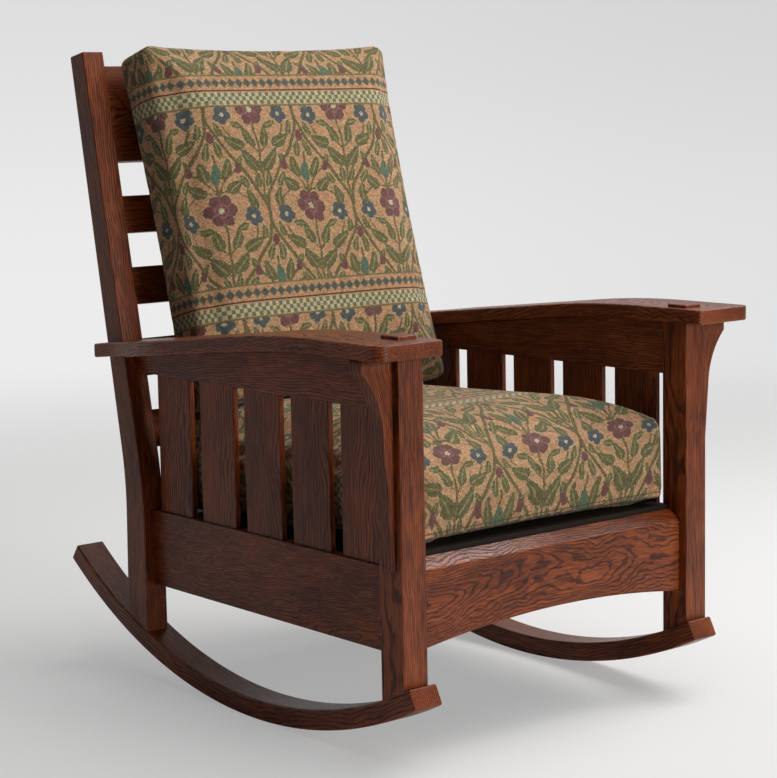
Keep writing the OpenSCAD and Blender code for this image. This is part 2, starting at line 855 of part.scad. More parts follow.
// Where its rear border stands, so that its rear crown just clears the top rail's face
shoulder_up = back_h - back_edge;
rear_gain = crown_gain(back_crown, back_h / 2 - back_edge, tan(cushion_lean - back_lean));
rail_face = knee_front + top_rail_inset * lean_back;
shoulder_depth = (sole + shoulder_up * cushion_up - rail_face) * lean_back;
sole_shift = (shoulder_depth + rear_gain + rest_gap) / (-cushion_out * lean_back);
back_heel = sole + sole_shift * cushion_out;

module seat_cushion_form() {
    in_deck()
        translate([0, seat_d / 2 - seat_lap, rest_gap])
        cushion(seat_w, seat_d, seat_border, seat_crown, 0, seat_edge, seat_corner, seat_draw);
}

// The back cushion lying flat, drawn in all round by an inset
module back_cushion_lying(inset) {
    translate([0, 0, inset])
        cushion(back_w - 2 * inset, back_h - 2 * inset, back_border - 2 * inset, back_crown,
            back_crown, back_edge - inset, back_corner - inset, back_draw);
}

module back_cushion_form() {
    translate([0, back_heel[0], back_heel[1]])
        rotate([90 - cushion_lean, 0, 0])
        translate([0, back_h / 2, 0])
        difference() {
            back_cushion_lying(0);
            back_cushion_lying(back_wall);
        }
}

// The sub-parts, each in its place

module runner_left() color(dark_oak) in_chair() runner();
module runner_right() color(dark_oak) in_chair() right_twin() runner();
module front_post_left() color(red_oak) in_chair() front_post();
module front_post_right() color(red_oak) in_chair() right_twin() front_post();
module rear_post_left() color(dark_oak) in_chair() rear_post();
module rear_post_right() color(dark_oak) in_chair() right_twin() rear_post();
module arm_left() color(red_oak) in_chair() arm();
module arm_right() color(red_oak) in_chair() right_twin() arm();
module corbel_left() color(red_oak) in_chair() corbel();
module corbel_right() color(red_oak) in_chair() right_twin() corbel();
module upper_side_rail_left() color(dark_oak) in_chair() upper_side_rail();
module upper_side_rail_right() color(dark_oak) in_chair() right_twin() upper_side_rail();
module lower_side_rail_left() color(dark_oak) in_chair() lower_side_rail();
module lower_side_rail_right() color(dark_oak) in_chair() right_twin() lower_side_rail();
module side_slat_left(k) color(dark_oak) in_chair() side_slat(k, 0);
module side_slat_right(k) color(dark_oak) in_chair() right_twin() side_slat(k, 0);
module front_seat_rail() color(red_oak) in_chair() front_rail();
module rear_seat_rail() color(dark_oak) in_chair() rear_rail(0);
module back_slat_board(k) color(dark_oak) in_chair() back_slat(k, 0);
module back_top_rail() color(dark_oak) in_chair() top_rail(0);
module seat_cleat_left() color(plain_oak) in_chair() seat_cleat();
module seat_cleat_right() color(plain_oak) in_chair() right_twin() seat_cleat();
module deck_side_bar_left() color(plain_oak) in_chair() deck_side_bar();
module deck_side_bar_right() color(plain_oak) in_chair() right_twin() deck_side_bar();
module deck_front_bar() color(plain_oak) in_chair() deck_end_bar(0);
module deck_rear_bar() color(plain_oak) in_chair() deck_end_bar(deck_l - deck_end_w);
module deck_slat_board(k) color(plain_oak) in_chair() deck_slat(k);
module seat_cushion() color(tapestry) in_chair() seat_cushion_form();
module back_cushion() color(tapestry) in_chair() back_cushion_form();

module corbel_dowels() {
    color(plain_oak) in_chair() {
        corbel_dowel_pair(0);
        right_twin() corbel_dowel_pair(0);
    }
}

module arm_dowels() {
    color(plain_oak) in_chair() {
        arm_dowel(0);
        right_twin() arm_dowel(0);
    }
}

module cleat_screws() {
    color(steel) in_chair() {
        cleat_screw_row(0);
        right_twin() cleat_screw_row(0);
    }
}

module deck_screws() {
    color(steel) in_chair() {
        deck_screw_row(0);
        right_twin() deck_screw_row(0);
    }
}

runner_left();
runner_right();
front_post_left();
front_post_right();
rear_post_left();
rear_post_right();
arm_left();
arm_right();
corbel_left();
corbel_right();
upper_side_rail_left();
upper_side_rail_right();
lower_side_rail_left();
lower_side_rail_right();
side_slat_left(1);  // side_slat_left_1
side_slat_left(2);  // side_slat_left_2
side_slat_left(3);  // side_slat_left_3
side_slat_left(4);  // side_slat_left_4
side_slat_left(5);  // side_slat_left_5
side_slat_right(1);  // side_slat_right_1
side_slat_right(2);  // side_slat_right_2
side_slat_right(3);  // side_slat_right_3
side_slat_right(4);  // side_slat_right_4
side_slat_right(5);  // side_slat_right_5
front_seat_rail();
rear_seat_rail();
back_slat_board(1);  // back_slat_1
back_slat_board(2);  // back_slat_2
back_slat_board(3);  // back_slat_3
back_slat_board(4);  // back_slat_4
back_top_rail();
seat_cleat_left();
seat_cleat_right();
deck_side_bar_left();
deck_side_bar_right();
deck_front_bar();
deck_rear_bar();
deck_slat_board(1);  // deck_slat_1
deck_slat_board(2);  // deck_slat_2
deck_slat_board(3);  // deck_slat_3
deck_slat_board(4);  // deck_slat_4
deck_slat_board(5);  // deck_slat_5
corbel_dowels();
arm_dowels();
cleat_screws();
deck_screws();
seat_cushion();
back_cushion();
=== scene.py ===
"""Looks of an oak rocking armchair with two loose tapestry cushions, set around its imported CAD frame.

Every board that shows is carried along its own path with softly eased edges, and each cushion is
stuffed by a short cloth simulation. Boards are worked out in millimetres, with depths from the
front faces of the front posts, and go into the meshes in metres in the CAD's own frame.
"""

import json
import logging
import math
from dataclasses import dataclass
from enum import Enum

import bpy
import numpy as np
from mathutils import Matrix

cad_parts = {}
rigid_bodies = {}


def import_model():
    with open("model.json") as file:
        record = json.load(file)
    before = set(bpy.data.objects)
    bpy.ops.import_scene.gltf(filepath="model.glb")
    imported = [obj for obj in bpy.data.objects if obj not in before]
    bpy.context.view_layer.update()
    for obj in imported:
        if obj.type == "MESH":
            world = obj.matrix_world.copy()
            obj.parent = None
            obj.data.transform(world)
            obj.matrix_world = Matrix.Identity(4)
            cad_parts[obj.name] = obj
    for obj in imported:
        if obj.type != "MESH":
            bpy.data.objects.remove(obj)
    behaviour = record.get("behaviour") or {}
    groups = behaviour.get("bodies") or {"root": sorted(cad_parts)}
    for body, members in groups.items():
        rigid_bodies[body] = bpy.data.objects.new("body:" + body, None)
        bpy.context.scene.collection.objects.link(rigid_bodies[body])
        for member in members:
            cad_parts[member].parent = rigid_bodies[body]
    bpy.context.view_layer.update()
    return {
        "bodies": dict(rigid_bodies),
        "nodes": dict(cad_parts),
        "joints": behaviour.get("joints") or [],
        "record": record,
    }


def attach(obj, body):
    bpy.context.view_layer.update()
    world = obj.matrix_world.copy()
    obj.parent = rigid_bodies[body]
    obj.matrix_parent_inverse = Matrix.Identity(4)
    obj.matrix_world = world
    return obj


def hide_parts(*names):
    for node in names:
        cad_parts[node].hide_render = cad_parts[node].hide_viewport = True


LOG = logging.getLogger("rocking_armchair")
MM = 0.001
WHITE = (1.0, 1.0, 1.0, 1.0)
EASE_STEPS = 4  # faces round a quarter of an eased edge
NO_NUMBERS = (None,) * 5  # the Mix node's sockets for numbers and vectors, before its two colours


# Small helpers


def linear(hex_colour: str) -> tuple[float, float, float, float]:
    """Turns an sRGB hex colour into linear RGBA.

    Args:
        hex_colour: six hex digits after a hash.

    Returns:
        Red, green and blue in linear light, and an alpha of 1.
    """
    srgb = np.array([int(hex_colour[i : i + 2], 16) for i in (1, 3, 5)]) / 255
    lit = np.where(srgb <= 0.04045, srgb / 12.92, ((srgb + 0.055) / 1.055) ** 2.4)
    return (*map(float, lit), 1.0)


class Shading:
    """The node tree of a material or of the world, emptied and then filled through one function."""

    def __init__(self, owner: bpy.types.Material | bpy.types.World) -> None:
        """Takes over the owner's nodes."""
        owner.use_nodes = True
        self.tree = owner.node_tree
        self.tree.nodes.clear()

    def add(self, kind: str, *values: object, **named: object) -> bpy.types.Node:
        """Adds a node, with its settings and what goes into it.

        Args:
            kind: the node's type without its leading ShaderNode, and for arithmetic a dot and the
                operation.
            values: what goes into its sockets in order: a value, another node's first output, an
                output socket, or None for a socket that stays as it is.
            named: a setting of the node itself, or what goes into the socket of that name, with _
                for a space.

        Returns:
            The new node.
        """
        kind, _, operation = kind.partition(".")
        made = self.tree.nodes.new(f"ShaderNode{kind}")
        if operation:
            made.operation = operation
        sockets = dict(enumerate(values))
        for name, value in named.items():
            if hasattr(made, name):
                setattr(made, name, value)
            else:
                sockets[name.replace("_", " ")] = value
        for key, value in sockets.items():
            source = value.outputs[0] if isinstance(value, bpy.types.Node) else value
            if isinstance(source, bpy.types.NodeSocket):
                self.tree.links.new(source, made.inputs[key])
            elif source is not None:
                made.inputs[key].default_value = source
        return made


def unit(vector: np.ndarray) -> np.ndarray:
    """Returns a vector at length 1."""
    return np.asarray(vector, float) / np.linalg.norm(vector)


def read(items: bpy.types.bpy_prop_collection, what: str, width: int = 1, kind: type = float) -> np.ndarray:
    """Reads one property of every item, with a row for each item where it is a vector."""
    flat = np.zeros(len(items) * width, kind)
    items.foreach_get(what, flat)
    return flat.reshape(-1, width) if width > 1 else flat


def store(mesh: bpy.types.Mesh, name: str, values: np.ndarray) -> None:
    """Stores a number or a vector for each point of a mesh, as an attribute for its finish."""
    kind, what = ("FLOAT_VECTOR", "vector") if values.ndim == 2 else ("FLOAT", "value")
    mesh.attributes.new(name, kind, "POINT").data.foreach_set(what, values.astype(np.float32).ravel())


def place(name: str, data: bpy.types.ID) -> bpy.types.Object:
    """Puts a new object into the scene, at the origin."""
    made = bpy.data.objects.new(name, data)
    bpy.context.scene.collection.objects.link(made)
    return made


def surface(name: str, points: np.ndarray, faces: list, finish: bpy.types.Material) -> bpy.types.Object:
    """Makes an object at the origin.

    Args:
        name: the piece's name.
        points: its points in metres, in the CAD's frame.
        faces: its faces, as lists of point numbers.
        finish: its material.

    Returns:
        The object.
    """
    mesh = bpy.data.meshes.new(name)
    mesh.from_pydata(points.tolist(), [], faces)
    mesh.materials.append(finish)
    return place(name, mesh)


def fillet(before: tuple, corner: tuple, after: tuple, reach: float, steps: int) -> np.ndarray:
    """Points of the arc that rounds a corner in a plane.

    The arc is tangent to both sides, at this reach from the corner; its radius is the reach times
    the tangent of half the angle between the sides.

    Args:
        before: a point on the side that comes in.
        corner: the sharp corner.
        after: a point on the side that goes out.
        reach: length of each side that the arc takes up.
        steps: number of points.

    Returns:
        The points, as an array of steps rows.
    """
    corner = np.array(corner, float)
    u, v = unit(np.array(before) - corner), unit(np.array(after) - corner)
    half = math.acos(float(u @ v)) / 2
    centre = corner + unit(u + v) * reach / math.cos(half)
    start, stop = corner + reach * u - centre, corner + reach * v - centre
    share = np.linspace(0, 1, steps)[:, None]
    turn = math.acos(float(unit(start) @ unit(stop)))
    return centre + (start * np.sin((1 - share) * turn) + stop * np.sin(share * turn)) / math.sin(turn)


@dataclass(frozen=True)
class Plan:
    """Sizes of the oak frame in millimetres, as the CAD has them."""

    half_width: float = 307.0
    front_post_w: float = 44.5
    front_post_d: float = 50.0
    rear_post_out: float = 305.5
    rear_post_in: float = 266.5
    rear_post_y: float = 654.0
    knee_z: float = 318.7
    head_z: float = 1016.0
    back_lean: float = math.radians(10.96)
    roll_radius: float = 868.0
    roll_y: float = 369.0
    runner_t: float = 31.0
    runner_w: float = 51.0
    arm_z: float = 605.5
    arm_t: float = 22.2
    arm_front: float = -35.5
    arm_slope: float = math.radians(6.05)
    bow_start: float = 101.0
    bow_corner: float = 196.0
    deck_slope: float = math.radians(2.46)
    deck_y: float = 35.5
    deck_z: float = 300.0
    mid_y: float = 423.68

    def lean_y(self, z: float) -> float:
        """Depth of a rear post's front face at a height above its bend."""
        return self.rear_post_y + (z - self.knee_z) * math.tan(self.back_lean)

    def runner_top(self, y: float) -> float:
        """Height of a runner's upper face at a depth."""
        inner = self.roll_radius - self.runner_t
        return self.roll_radius - math.sqrt(inner**2 - (y - self.roll_y) ** 2)

    def arm_height(self, y: np.ndarray, below: float) -> np.ndarray:
        """Height of the arm's top, or of a face this far below it, at a depth.

        Level, then an arc about one centre, then straight down at the arm's slope.
        """
        bow_radius = (self.bow_corner - self.bow_start) / math.tan(self.arm_slope / 2)
        radius = bow_radius - below
        start_z = self.arm_z - bow_radius
        y = np.asarray(y, float)
        bend_end = self.bow_start + radius * math.sin(self.arm_slope)
        along = np.clip(y - self.bow_start, 0, radius * math.sin(self.arm_slope))
        arc = start_z + np.sqrt(radius**2 - along**2)
        return np.where(y > bend_end, arc - (y - bend_end) * math.tan(self.arm_slope), arc)

    def in_lean(self, x: np.ndarray, depth: float, rise: float) -> tuple[np.ndarray, float, float]:
        """Points given along the leaning back: across, into it, and up it from its bend."""
        c, s = math.cos(self.back_lean), math.sin(self.back_lean)
        return (x, self.rear_post_y + depth * c + rise * s, self.knee_z - depth * s + rise * c)


PLAN = Plan()


def to_frame(points: np.ndarray) -> np.ndarray:
    """Moves points from millimetres behind the front posts to metres in the CAD's frame."""
    return (np.asarray(points, float) - [0, PLAN.mid_y, 0]) * MM


# Boards


class Cut(Enum):
    """How a board was sawn from the log.

    The first two numbers are the pith's distance from its middle in millimetres, the third is how
    much the pith comes nearer along the board, and the last is how much its fibres wander.
    """

    FLAT = (0.0, 46.0, 0.06, 1.0)
    RIFT = (95.0, 60.0, 0.02, 0.5)
    QUARTER = (150.0, 14.0, 0.0, 0.3)


@dataclass
class Shell:
    """A closed surface: its points, faces, and where each point lies in its board's own grain."""

    points: np.ndarray
    faces: list[np.ndarray]
    grain: np.ndarray

    def mirrored(self) -> "Shell":
        """The same board on the chair's other side."""
        return Shell(self.points * [-1, 1, 1], [f[:, ::-1] for f in self.faces], self.grain)

    def six_volumes(self) -> float:
        """Six times the volume, which is below 0 where the faces point inwards."""
        total = 0.0
        for group in self.faces:
            a = self.points[group[:, 0]]
            for i in range(1, group.shape[1] - 1):
                b, c = self.points[group[:, i]], self.points[group[:, i + 1]]
                total += (a * np.cross(b, c)).sum()
        return total


def tube_faces(count: int, around: int) -> tuple[np.ndarray, np.ndarray]:
    """Faces of a closed tube, whose points are its rings and then one pole at each end.

    Args:
        count: number of rings.
        around: number of points in a ring.

    Returns:
        The faces between the rings, with four corners, and those at the poles, with three.
    """
    k, j = np.meshgrid(np.arange(count - 1), np.arange(around), indexing="ij")
    a, b = k * around + j, k * around + (j + 1) % around
    walls = np.stack([a, b, b + around, a + around], -1).reshape(-1, 4)
    here, last, pole = np.arange(around), (count - 1) * around, count * around
    after = (here + 1) % around
    low = np.stack([np.full(around, pole), after, here], -1)
    high = np.stack([np.full(around, pole + 1), last + here, last + after], -1)
    return walls, np.concatenate([low, high])


def stations(*corners: tuple) -> np.ndarray:
    """Lines up the corners of a section along its path.

    Args:
        corners: x, y and z of each corner, each as one number or as one for every station.

    Returns:
        Stations by corners by x, y and z.
    """
    return np.stack([np.stack(np.broadcast_arrays(*corner), -1) for corner in corners], 1)


def carried(corners: np.ndarray, ease: float, eased_ends: tuple[bool, bool] = (True, True)) -> Shell:
    """Carries a four-cornered section along a path, with its long edges and its ends eased.

    At each place along the path the section is the bilinear patch between its four corners, run
    round at its border, with each corner rounded to a quarter circle. Towards an eased end the
    section is drawn in by ease - sqrt(ease^2 - (ease - distance)^2), which rounds the end's edges.

    Args:
        corners: stations by four corners by x, y and z, in millimetres.
        ease: radius of the eased edges.
        eased_ends: whether the first and the last end are eased.

    Returns:
        The closed surface, with its grain running along the path.
    """
    corners = np.asarray(corners, float)
    steps = np.linalg.norm(np.diff(corners.mean(1), axis=0), axis=1)
    along = np.concatenate([[0], np.cumsum(steps)])
    total = along[-1]
    quarter = np.linspace(0, math.pi / 2, EASE_STEPS + 1)
    near = ease * (1 - np.cos(quarter))
    kept = along[(along >= ease * 1.01) & (along <= total - ease * 1.01)]
    first = near if eased_ends[0] else [0]
    last = total - near if eased_ends[1] else [total]
    places = np.unique(np.concatenate([first, kept, last]).round(6))
    flat = corners.reshape(len(corners), 12)
    at = np.stack([np.interp(places, along, flat[:, i]) for i in range(12)], 1).reshape(-1, 4, 3)
    gap = np.full(len(places), ease)
    if eased_ends[0]:
        gap = np.minimum(gap, places)
    if eased_ends[1]:
        gap = np.minimum(gap, total - places)
    drawn_in = (ease - np.sqrt(np.maximum(ease**2 - (ease - gap) ** 2, 0)))[:, None]
    # At an eased end the long edges keep a fifth of their radius.
    radius = ease - 0.8 * drawn_in

    def half_across(*sides: tuple[int, int]) -> np.ndarray:
        """Half of the mean length of two opposite sides, at each place."""
        return sum(np.linalg.norm(at[:, a] - at[:, b], axis=1) for a, b in sides)[:, None] / 4

    wide, deep = half_across((1, 0), (2, 3)), half_across((3, 0), (2, 1))
    sign_p = np.repeat([1, -1, -1, 1], EASE_STEPS + 1)
    sign_q = np.repeat([1, 1, -1, -1], EASE_STEPS + 1)
    turn = np.concatenate([quarter, quarter[::-1], quarter, quarter[::-1]])
    p = sign_p * (wide - drawn_in - radius * (1 - np.cos(turn)))
    q = sign_q * (deep - drawn_in - radius * (1 - np.sin(turn)))
    ps, qs = ((p / wide + 1) / 2)[..., None], ((q / deep + 1) / 2)[..., None]
    c = at[:, :, None]
    rings = (1 - qs) * ((1 - ps) * c[:, 0] + ps * c[:, 1]) + qs * (ps * c[:, 2] + (1 - ps) * c[:, 3])
    points = np.concatenate([rings.reshape(-1, 3), [at[0].mean(0), at[-1].mean(0)]])
    grain = np.stack([p, q, np.broadcast_to(places[:, None], p.shape)], -1).reshape(-1, 3)
    grain = np.concatenate([grain, [[0, 0, 0], [0, 0, total]]])
    shell = Shell(points, list(tube_faces(*p.shape)), grain)
    if shell.six_volumes() < 0:
        shell.faces = [f[:, ::-1] for f in shell.faces]
    return shell


def straight(low: tuple, high: tuple, along: int, ease: float, eased_ends: tuple = (True, True)) -> Shell:
    """A straight board between two corners of a box, with its grain along one axis.

    Args:
        low: the box's lowest corner.
        high: the box's highest corner.
        along: axis of the grain, 0 for X, 1 for Y and 2 for Z.
        ease: radius of the eased edges.
        eased_ends: whether its first and its last end are eased.
    """
    across, through = [i for i in range(3) if i != along]
    ends = np.array([low, high], float)
    corners = np.zeros((2, 4, 3))
    corners[:, :, along] = ends[:, along, None]
    corners[:, :, across] = ends[[0, 1, 1, 0], across]
    corners[:, :, through] = ends[[0, 0, 1, 1], through]
    return carried(corners, ease, eased_ends)


def area_normals(mesh: bpy.types.Mesh) -> None:
    """Shades a mesh smooth, with each point's normal led by its largest faces.

    A point's normal is the sum of its faces' normals, each times its face's area.
    """
    weighted = read(mesh.polygons, "normal", 3) * read(mesh.polygons, "area")[:, None]
    owner = np.repeat(np.arange(len(weighted)), read(mesh.polygons, "loop_total", 1, int))
    total = np.zeros((len(mesh.vertices), 3))
    np.add.at(total, read(mesh.loops, "vertex_index", 1, int), weighted[owner])
    total /= np.maximum(np.linalg.norm(total, axis=1), 1e-20)[:, None]
    mesh.shade_smooth()
    mesh.normals_split_custom_set_from_vertices(total.tolist())


@dataclass(frozen=True)
class Board:
    """One board of the chair, which stands for a CAD node; its number moves it within the log."""

    name: str
    shells: list[Shell]
    cut: Cut
    number: int

    def make(self, finish: bpy.types.Material) -> bpy.types.Object:
        """Makes the board's mesh, with the attributes that its finish follows.

        Args:
            finish: the wood's material.

        Returns:
            The piece, in place of its CAD node.
        """
        faces, base = [], 0
        for shell in self.shells:
            for group in shell.faces:
                faces.extend((group + base).tolist())
            base += len(shell.points)
        points = to_frame(np.concatenate([shell.points for shell in self.shells]))
        piece = surface(f"{self.name}_eased", points, faces, finish)
        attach(piece, "chair")
        aside, below, tilt, wander = self.cut.value
        # Shifts that keep any two boards from showing the same stretch of the log.
        shift = np.array([(self.number * 37) % 23 - 11, (self.number * 53) % 17 - 8, self.number * 731.0])
        where = np.concatenate([shell.grain for shell in self.shells])
        where[:, 1] += tilt * where[:, 2]
        store(piece.data, "grain", (where + [aside, below, 0.0] + shift) * MM)
        store(piece.data, "wander", np.full(len(where), wander))
        area_normals(piece.data)
        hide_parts(self.name)
        return piece


@dataclass(frozen=True)
class SideFrames:
    """The two sides: runners, posts, arms, corbels, side rails and side slats."""

    runner_ease: float = 3.0
    post_ease: float = 2.4
    cap_ease: float = 2.2
    arm_ease: float = 3.2
    rail_ease: float = 2.0
    slat_ease: float = 1.6
    corbel_ease: float = 1.3
    tuck: float = 2.0
    runner_ends: tuple[float, float] = (-26.9, 36.3)
    tenon_w: float = 34.0
    tenon_d: float = 38.0
    tenon_sunk: float = 4.0
    tenon_proud: float = 5.0
    rail_in: float = 267.5
    rail_out: float = 286.5
    lower_rail: tuple[float, float] = (157.0, 280.5)
    upper_rail_z: float = 501.5
    slat_in: float = 272.0
    slat_out: float = 282.0
    slat_y: float = 73.0
    slat_w: float = 90.0
    slat_step: float = 118.5
    slat_tuck: float = 3.0

    def runner(self) -> Shell:
        """A runner: a rectangular section carried round the rolling circle's centre."""
        turn = np.radians(np.linspace(*self.runner_ends, 72))
        inner, outer = PLAN.half_width - PLAN.runner_w, PLAN.half_width
        low, top = PLAN.roll_radius, PLAN.roll_radius - PLAN.runner_t
        section = ((inner, low), (outer, low), (outer, top), (inner, top))
        y, z, c, s = PLAN.roll_y, PLAN.roll_radius, np.cos(turn), np.sin(turn)
        corners = stations(*((x, y + radius * s, z - radius * c) for x, radius in section))
        return carried(corners, self.runner_ease)

    def front_post(self) -> list[Shell]:
        """A front post down to its runner, and the low cap of its tenon through the arm."""
        inner, outer, deep = PLAN.half_width - PLAN.front_post_w, PLAN.half_width, PLAN.front_post_d
        under = PLAN.arm_z - PLAN.arm_t
        front = np.array([PLAN.runner_top(0) - self.tuck, under])
        rear = np.array([PLAN.runner_top(deep) - self.tuck, under])
        post = stations((inner, 0, front), (outer, 0, front), (outer, deep, rear), (inner, deep, rear))
        middle = np.array([(inner + outer) / 2, deep / 2, PLAN.arm_z])
        low = middle - [self.tenon_w / 2, self.tenon_d / 2, self.tenon_sunk]
        high = middle + [self.tenon_w / 2, self.tenon_d / 2, self.tenon_proud]
        return [carried(post, self.post_ease, (False, False)), straight(low, high, 2, self.cap_ease)]

    def rear_post(self) -> Shell:
        """A rear post, bent from its upright foot to its leaning head."""
        head_d, foot_d, heel_d, bend, steps = 40.0, 60.0, 58.0, 55.0, 12
        inner, outer, foot_y = PLAN.rear_post_in, PLAN.rear_post_out, PLAN.rear_post_y
        c, s = math.cos(PLAN.back_lean), math.sin(PLAN.back_lean)
        knee, head = (foot_y, PLAN.knee_z), (PLAN.lean_y(PLAN.head_z), PLAN.head_z)
        back_knee = (knee[0] + 51.6, knee[1] + 7.4)
        back_head = (head[0] + head_d * c, head[1] - head_d * s)
        front = fillet((foot_y, 0.0), knee, head, bend, steps)
        rear = fillet((foot_y + foot_d, 0.0), back_knee, back_head, bend, steps)
        front_z = PLAN.runner_top(foot_y) - self.tuck
        rear_z = PLAN.runner_top(foot_y + heel_d) - self.tuck
        rear_y = foot_y + foot_d + (rear[0][0] - foot_y - foot_d) * rear_z / rear[0][1]
        front = np.vstack([(foot_y, front_z), front, head]).T
        rear = np.vstack([(rear_y, rear_z), rear, back_head]).T
        corners = stations((inner, *front), (inner, *rear), (outer, *rear), (outer, *front))
        return carried(corners, self.post_ease, (False, True))

    def arm(self) -> Shell:
        """An arm: level and broad in front, bowed down to a narrow tail beside the rear post."""
        inner, outer, tail = 254.7, 368.4, 334.0
        front, step, notch_end, end = PLAN.arm_front, 593.0, 708.0, 742.0
        outer_round, inner_round, notch_drop = 16.0, 5.0, 38.0
        step_end = step + outer - tail
        nose = front + outer_round * (1 - np.cos(np.linspace(0, math.pi / 2, 8)))
        notch = PLAN.lean_y(PLAN.arm_z - notch_drop)
        before, after = notch - 0.01, notch + 0.01
        rest = [400, 500, step, step_end, before, after, notch_end, end]
        y = np.concatenate([nose, [60, 98], np.linspace(102, 292, 20), rest])

        def rounded(radius: float) -> np.ndarray:
            """How far a front corner of this radius draws the side in."""
            return radius - np.sqrt(radius**2 - np.clip(radius - (y - front), 0, radius) ** 2)

        x_out = np.interp(y, [front, step, step_end, end], [outer, outer, tail, tail]) - rounded(outer_round)
        x_in = np.where(y > notch, PLAN.rear_post_out, inner) + rounded(inner_round)
        lean = np.interp(y, [step_end, before, after, notch_end], [0, 1, 1, 0])
        tilt = lean * math.tan(PLAN.back_lean) * PLAN.arm_t / 2
        y_top, y_low = y + tilt, y - tilt
        z_top, z_low = PLAN.arm_height(y_top, 0.0), PLAN.arm_height(y_low, PLAN.arm_t)
        low = ((x_in, y_low, z_low), (x_out, y_low, z_low))
        top = ((x_out, y_top, z_top), (x_in, y_top, z_top))
        return carried(stations(*low, *top), self.arm_ease)

    def corbel(self) -> Shell:
        """A corbel: a straight foot, then a hollow of 120 mm radius up to its lip."""
        foot, start, stop, lip = 285.0, 490.0, 565.2, PLAN.arm_z - PLAN.arm_t
        radius, centre_x, centre_z, foot_reach, sunk = 120.0, 139.6, 480.1, 3.0, 0.5
        front, rear = 12.0, 38.0
        z = np.concatenate([[foot], np.linspace(start, stop, 14), [lip]])
        hollow = centre_x - np.sqrt(radius**2 - (np.clip(z, start, stop) - centre_z) ** 2)
        reach = np.where(z < start, foot_reach, hollow) + PLAN.half_width
        inner = PLAN.half_width - sunk
        corners = stations((inner, front, z), (reach, front, z), (reach, rear, z), (inner, rear, z))
        return carried(corners, self.corbel_ease, (True, False))

    def upper_rail(self) -> Shell:
        """An upper side rail, which fills up to the bowed underside of the arm."""
        inner, outer, low, end, tail_z = self.rail_in, self.rail_out, self.upper_rail_z, 690.0, 535.0
        y = np.concatenate([[PLAN.front_post_d, 98], np.linspace(102, 292, 16), [500, end]])
        y_low = np.where(y == end, PLAN.lean_y(low), y)
        y_top = np.where(y == end, PLAN.lean_y(tail_z), y)
        z_top = PLAN.arm_height(y_top, PLAN.arm_t)
        inside = ((inner, y_low, low), (inner, y_top, z_top))
        outside = ((outer, y_top, z_top), (outer, y_low, low))
        return carried(stations(*inside, *outside), self.rail_ease, (False, False))

    def slat(self, k: int) -> Shell:
        """The slat at this place behind the front one, let into both side rails."""
        front = self.slat_y + k * self.slat_step
        low = (self.slat_in, front, self.lower_rail[1] - self.slat_tuck)
        high = (self.slat_out, front + self.slat_w, self.upper_rail_z + self.slat_tuck)
        return straight(low, high, 2, self.slat_ease)

    def boards(self) -> list[Board]:
        """Every board of both sides, each with its twin."""
        low = (self.rail_in, PLAN.front_post_d, self.lower_rail[0])
        high = (self.rail_out, PLAN.rear_post_y, self.lower_rail[1])
        parts = [
            ("runner", [self.runner()], Cut.RIFT),
            ("front_post", self.front_post(), Cut.QUARTER),
            ("rear_post", [self.rear_post()], Cut.RIFT),
            ("arm", [self.arm()], Cut.FLAT),
            ("corbel", [self.corbel()], Cut.RIFT),
            ("upper_side_rail", [self.upper_rail()], Cut.RIFT),
            ("lower_side_rail", [straight(low, high, 1, self.rail_ease, (False, False))], Cut.FLAT),
        ]
        slats = [(k + 1, [self.slat(k)]) for k in range(5)]
        made = []
        for side in ("left", "right"):
            named = [(f"{name}_{side}", shells, cut) for name, shells, cut in parts]
            named += [(f"side_slat_{side}_{k}", shells, Cut.RIFT) for k, shells in slats]
            for name, shells, cut in named:
                mine = shells if side == "left" else [shell.mirrored() for shell in shells]
                made.append(Board(name, mine, cut, len(made) * 3 + 1))
        return made


@dataclass(frozen=True)
class CrossBoards:
    """What joins the two sides: the seat rails, and the slats and top rail of the back."""

    rail_ease: float = 2.4
    slat_ease: float = 2.0
    rail_foot: float = 165.0
    first_slat: float = 62.6
    slat_step: float = 117.2

    def front_rail(self) -> Shell:
        """The front seat rail: arched below, with a top that slopes up to the rear."""
        front, back, front_z, back_z = 13.0, 34.0, 277.0, 294.0
        half, end, rise = 258.5, PLAN.half_width - PLAN.front_post_w, 20.0
        x = np.concatenate([[-end], np.linspace(-half, half, 41), [end]])
        radius = (half**2 + rise**2) / (2 * rise)
        arch = self.rail_foot + rise - radius + np.sqrt(radius**2 - np.clip(x, -half, half) ** 2)
        corners = stations((x, front, arch), (x, front, front_z), (x, back, back_z), (x, back, arch))
        return carried(corners, self.rail_ease, (False, False))

    def leaning(self, low: float, height: float, front: float, thick: float) -> Shell:
        """A board across the leaning back."""
        x, back, top = np.array([-PLAN.rear_post_in, PLAN.rear_post_in]), front + thick, low + height
        section = ((front, low), (front, top), (back, top), (back, low))
        corners = stations(*(PLAN.in_lean(x, depth, rise) for depth, rise in section))
        return carried(corners, self.slat_ease, (False, False))

    def boards(self) -> list[Board]:
        """Every board that runs across the chair."""
        half = PLAN.rear_post_in
        rear = straight((-half, 672, self.rail_foot), (half, 692, 250), 0, self.rail_ease, (False, False))
        made = [
            Board("front_seat_rail", [self.front_rail()], Cut.FLAT, 50),
            Board("rear_seat_rail", [rear], Cut.FLAT, 51),
        ]
        for k in range(4):
            slat = self.leaning(self.first_slat + k * self.slat_step, height=61, front=13, thick=13)
            made.append(Board(f"back_slat_{k + 1}", [slat], Cut.RIFT, 52 + k))
        top = self.leaning(531.4, height=157.4, front=10, thick=20)
        made.append(Board("back_top_rail", [top], Cut.FLAT, 58))
        return made


# Finishes


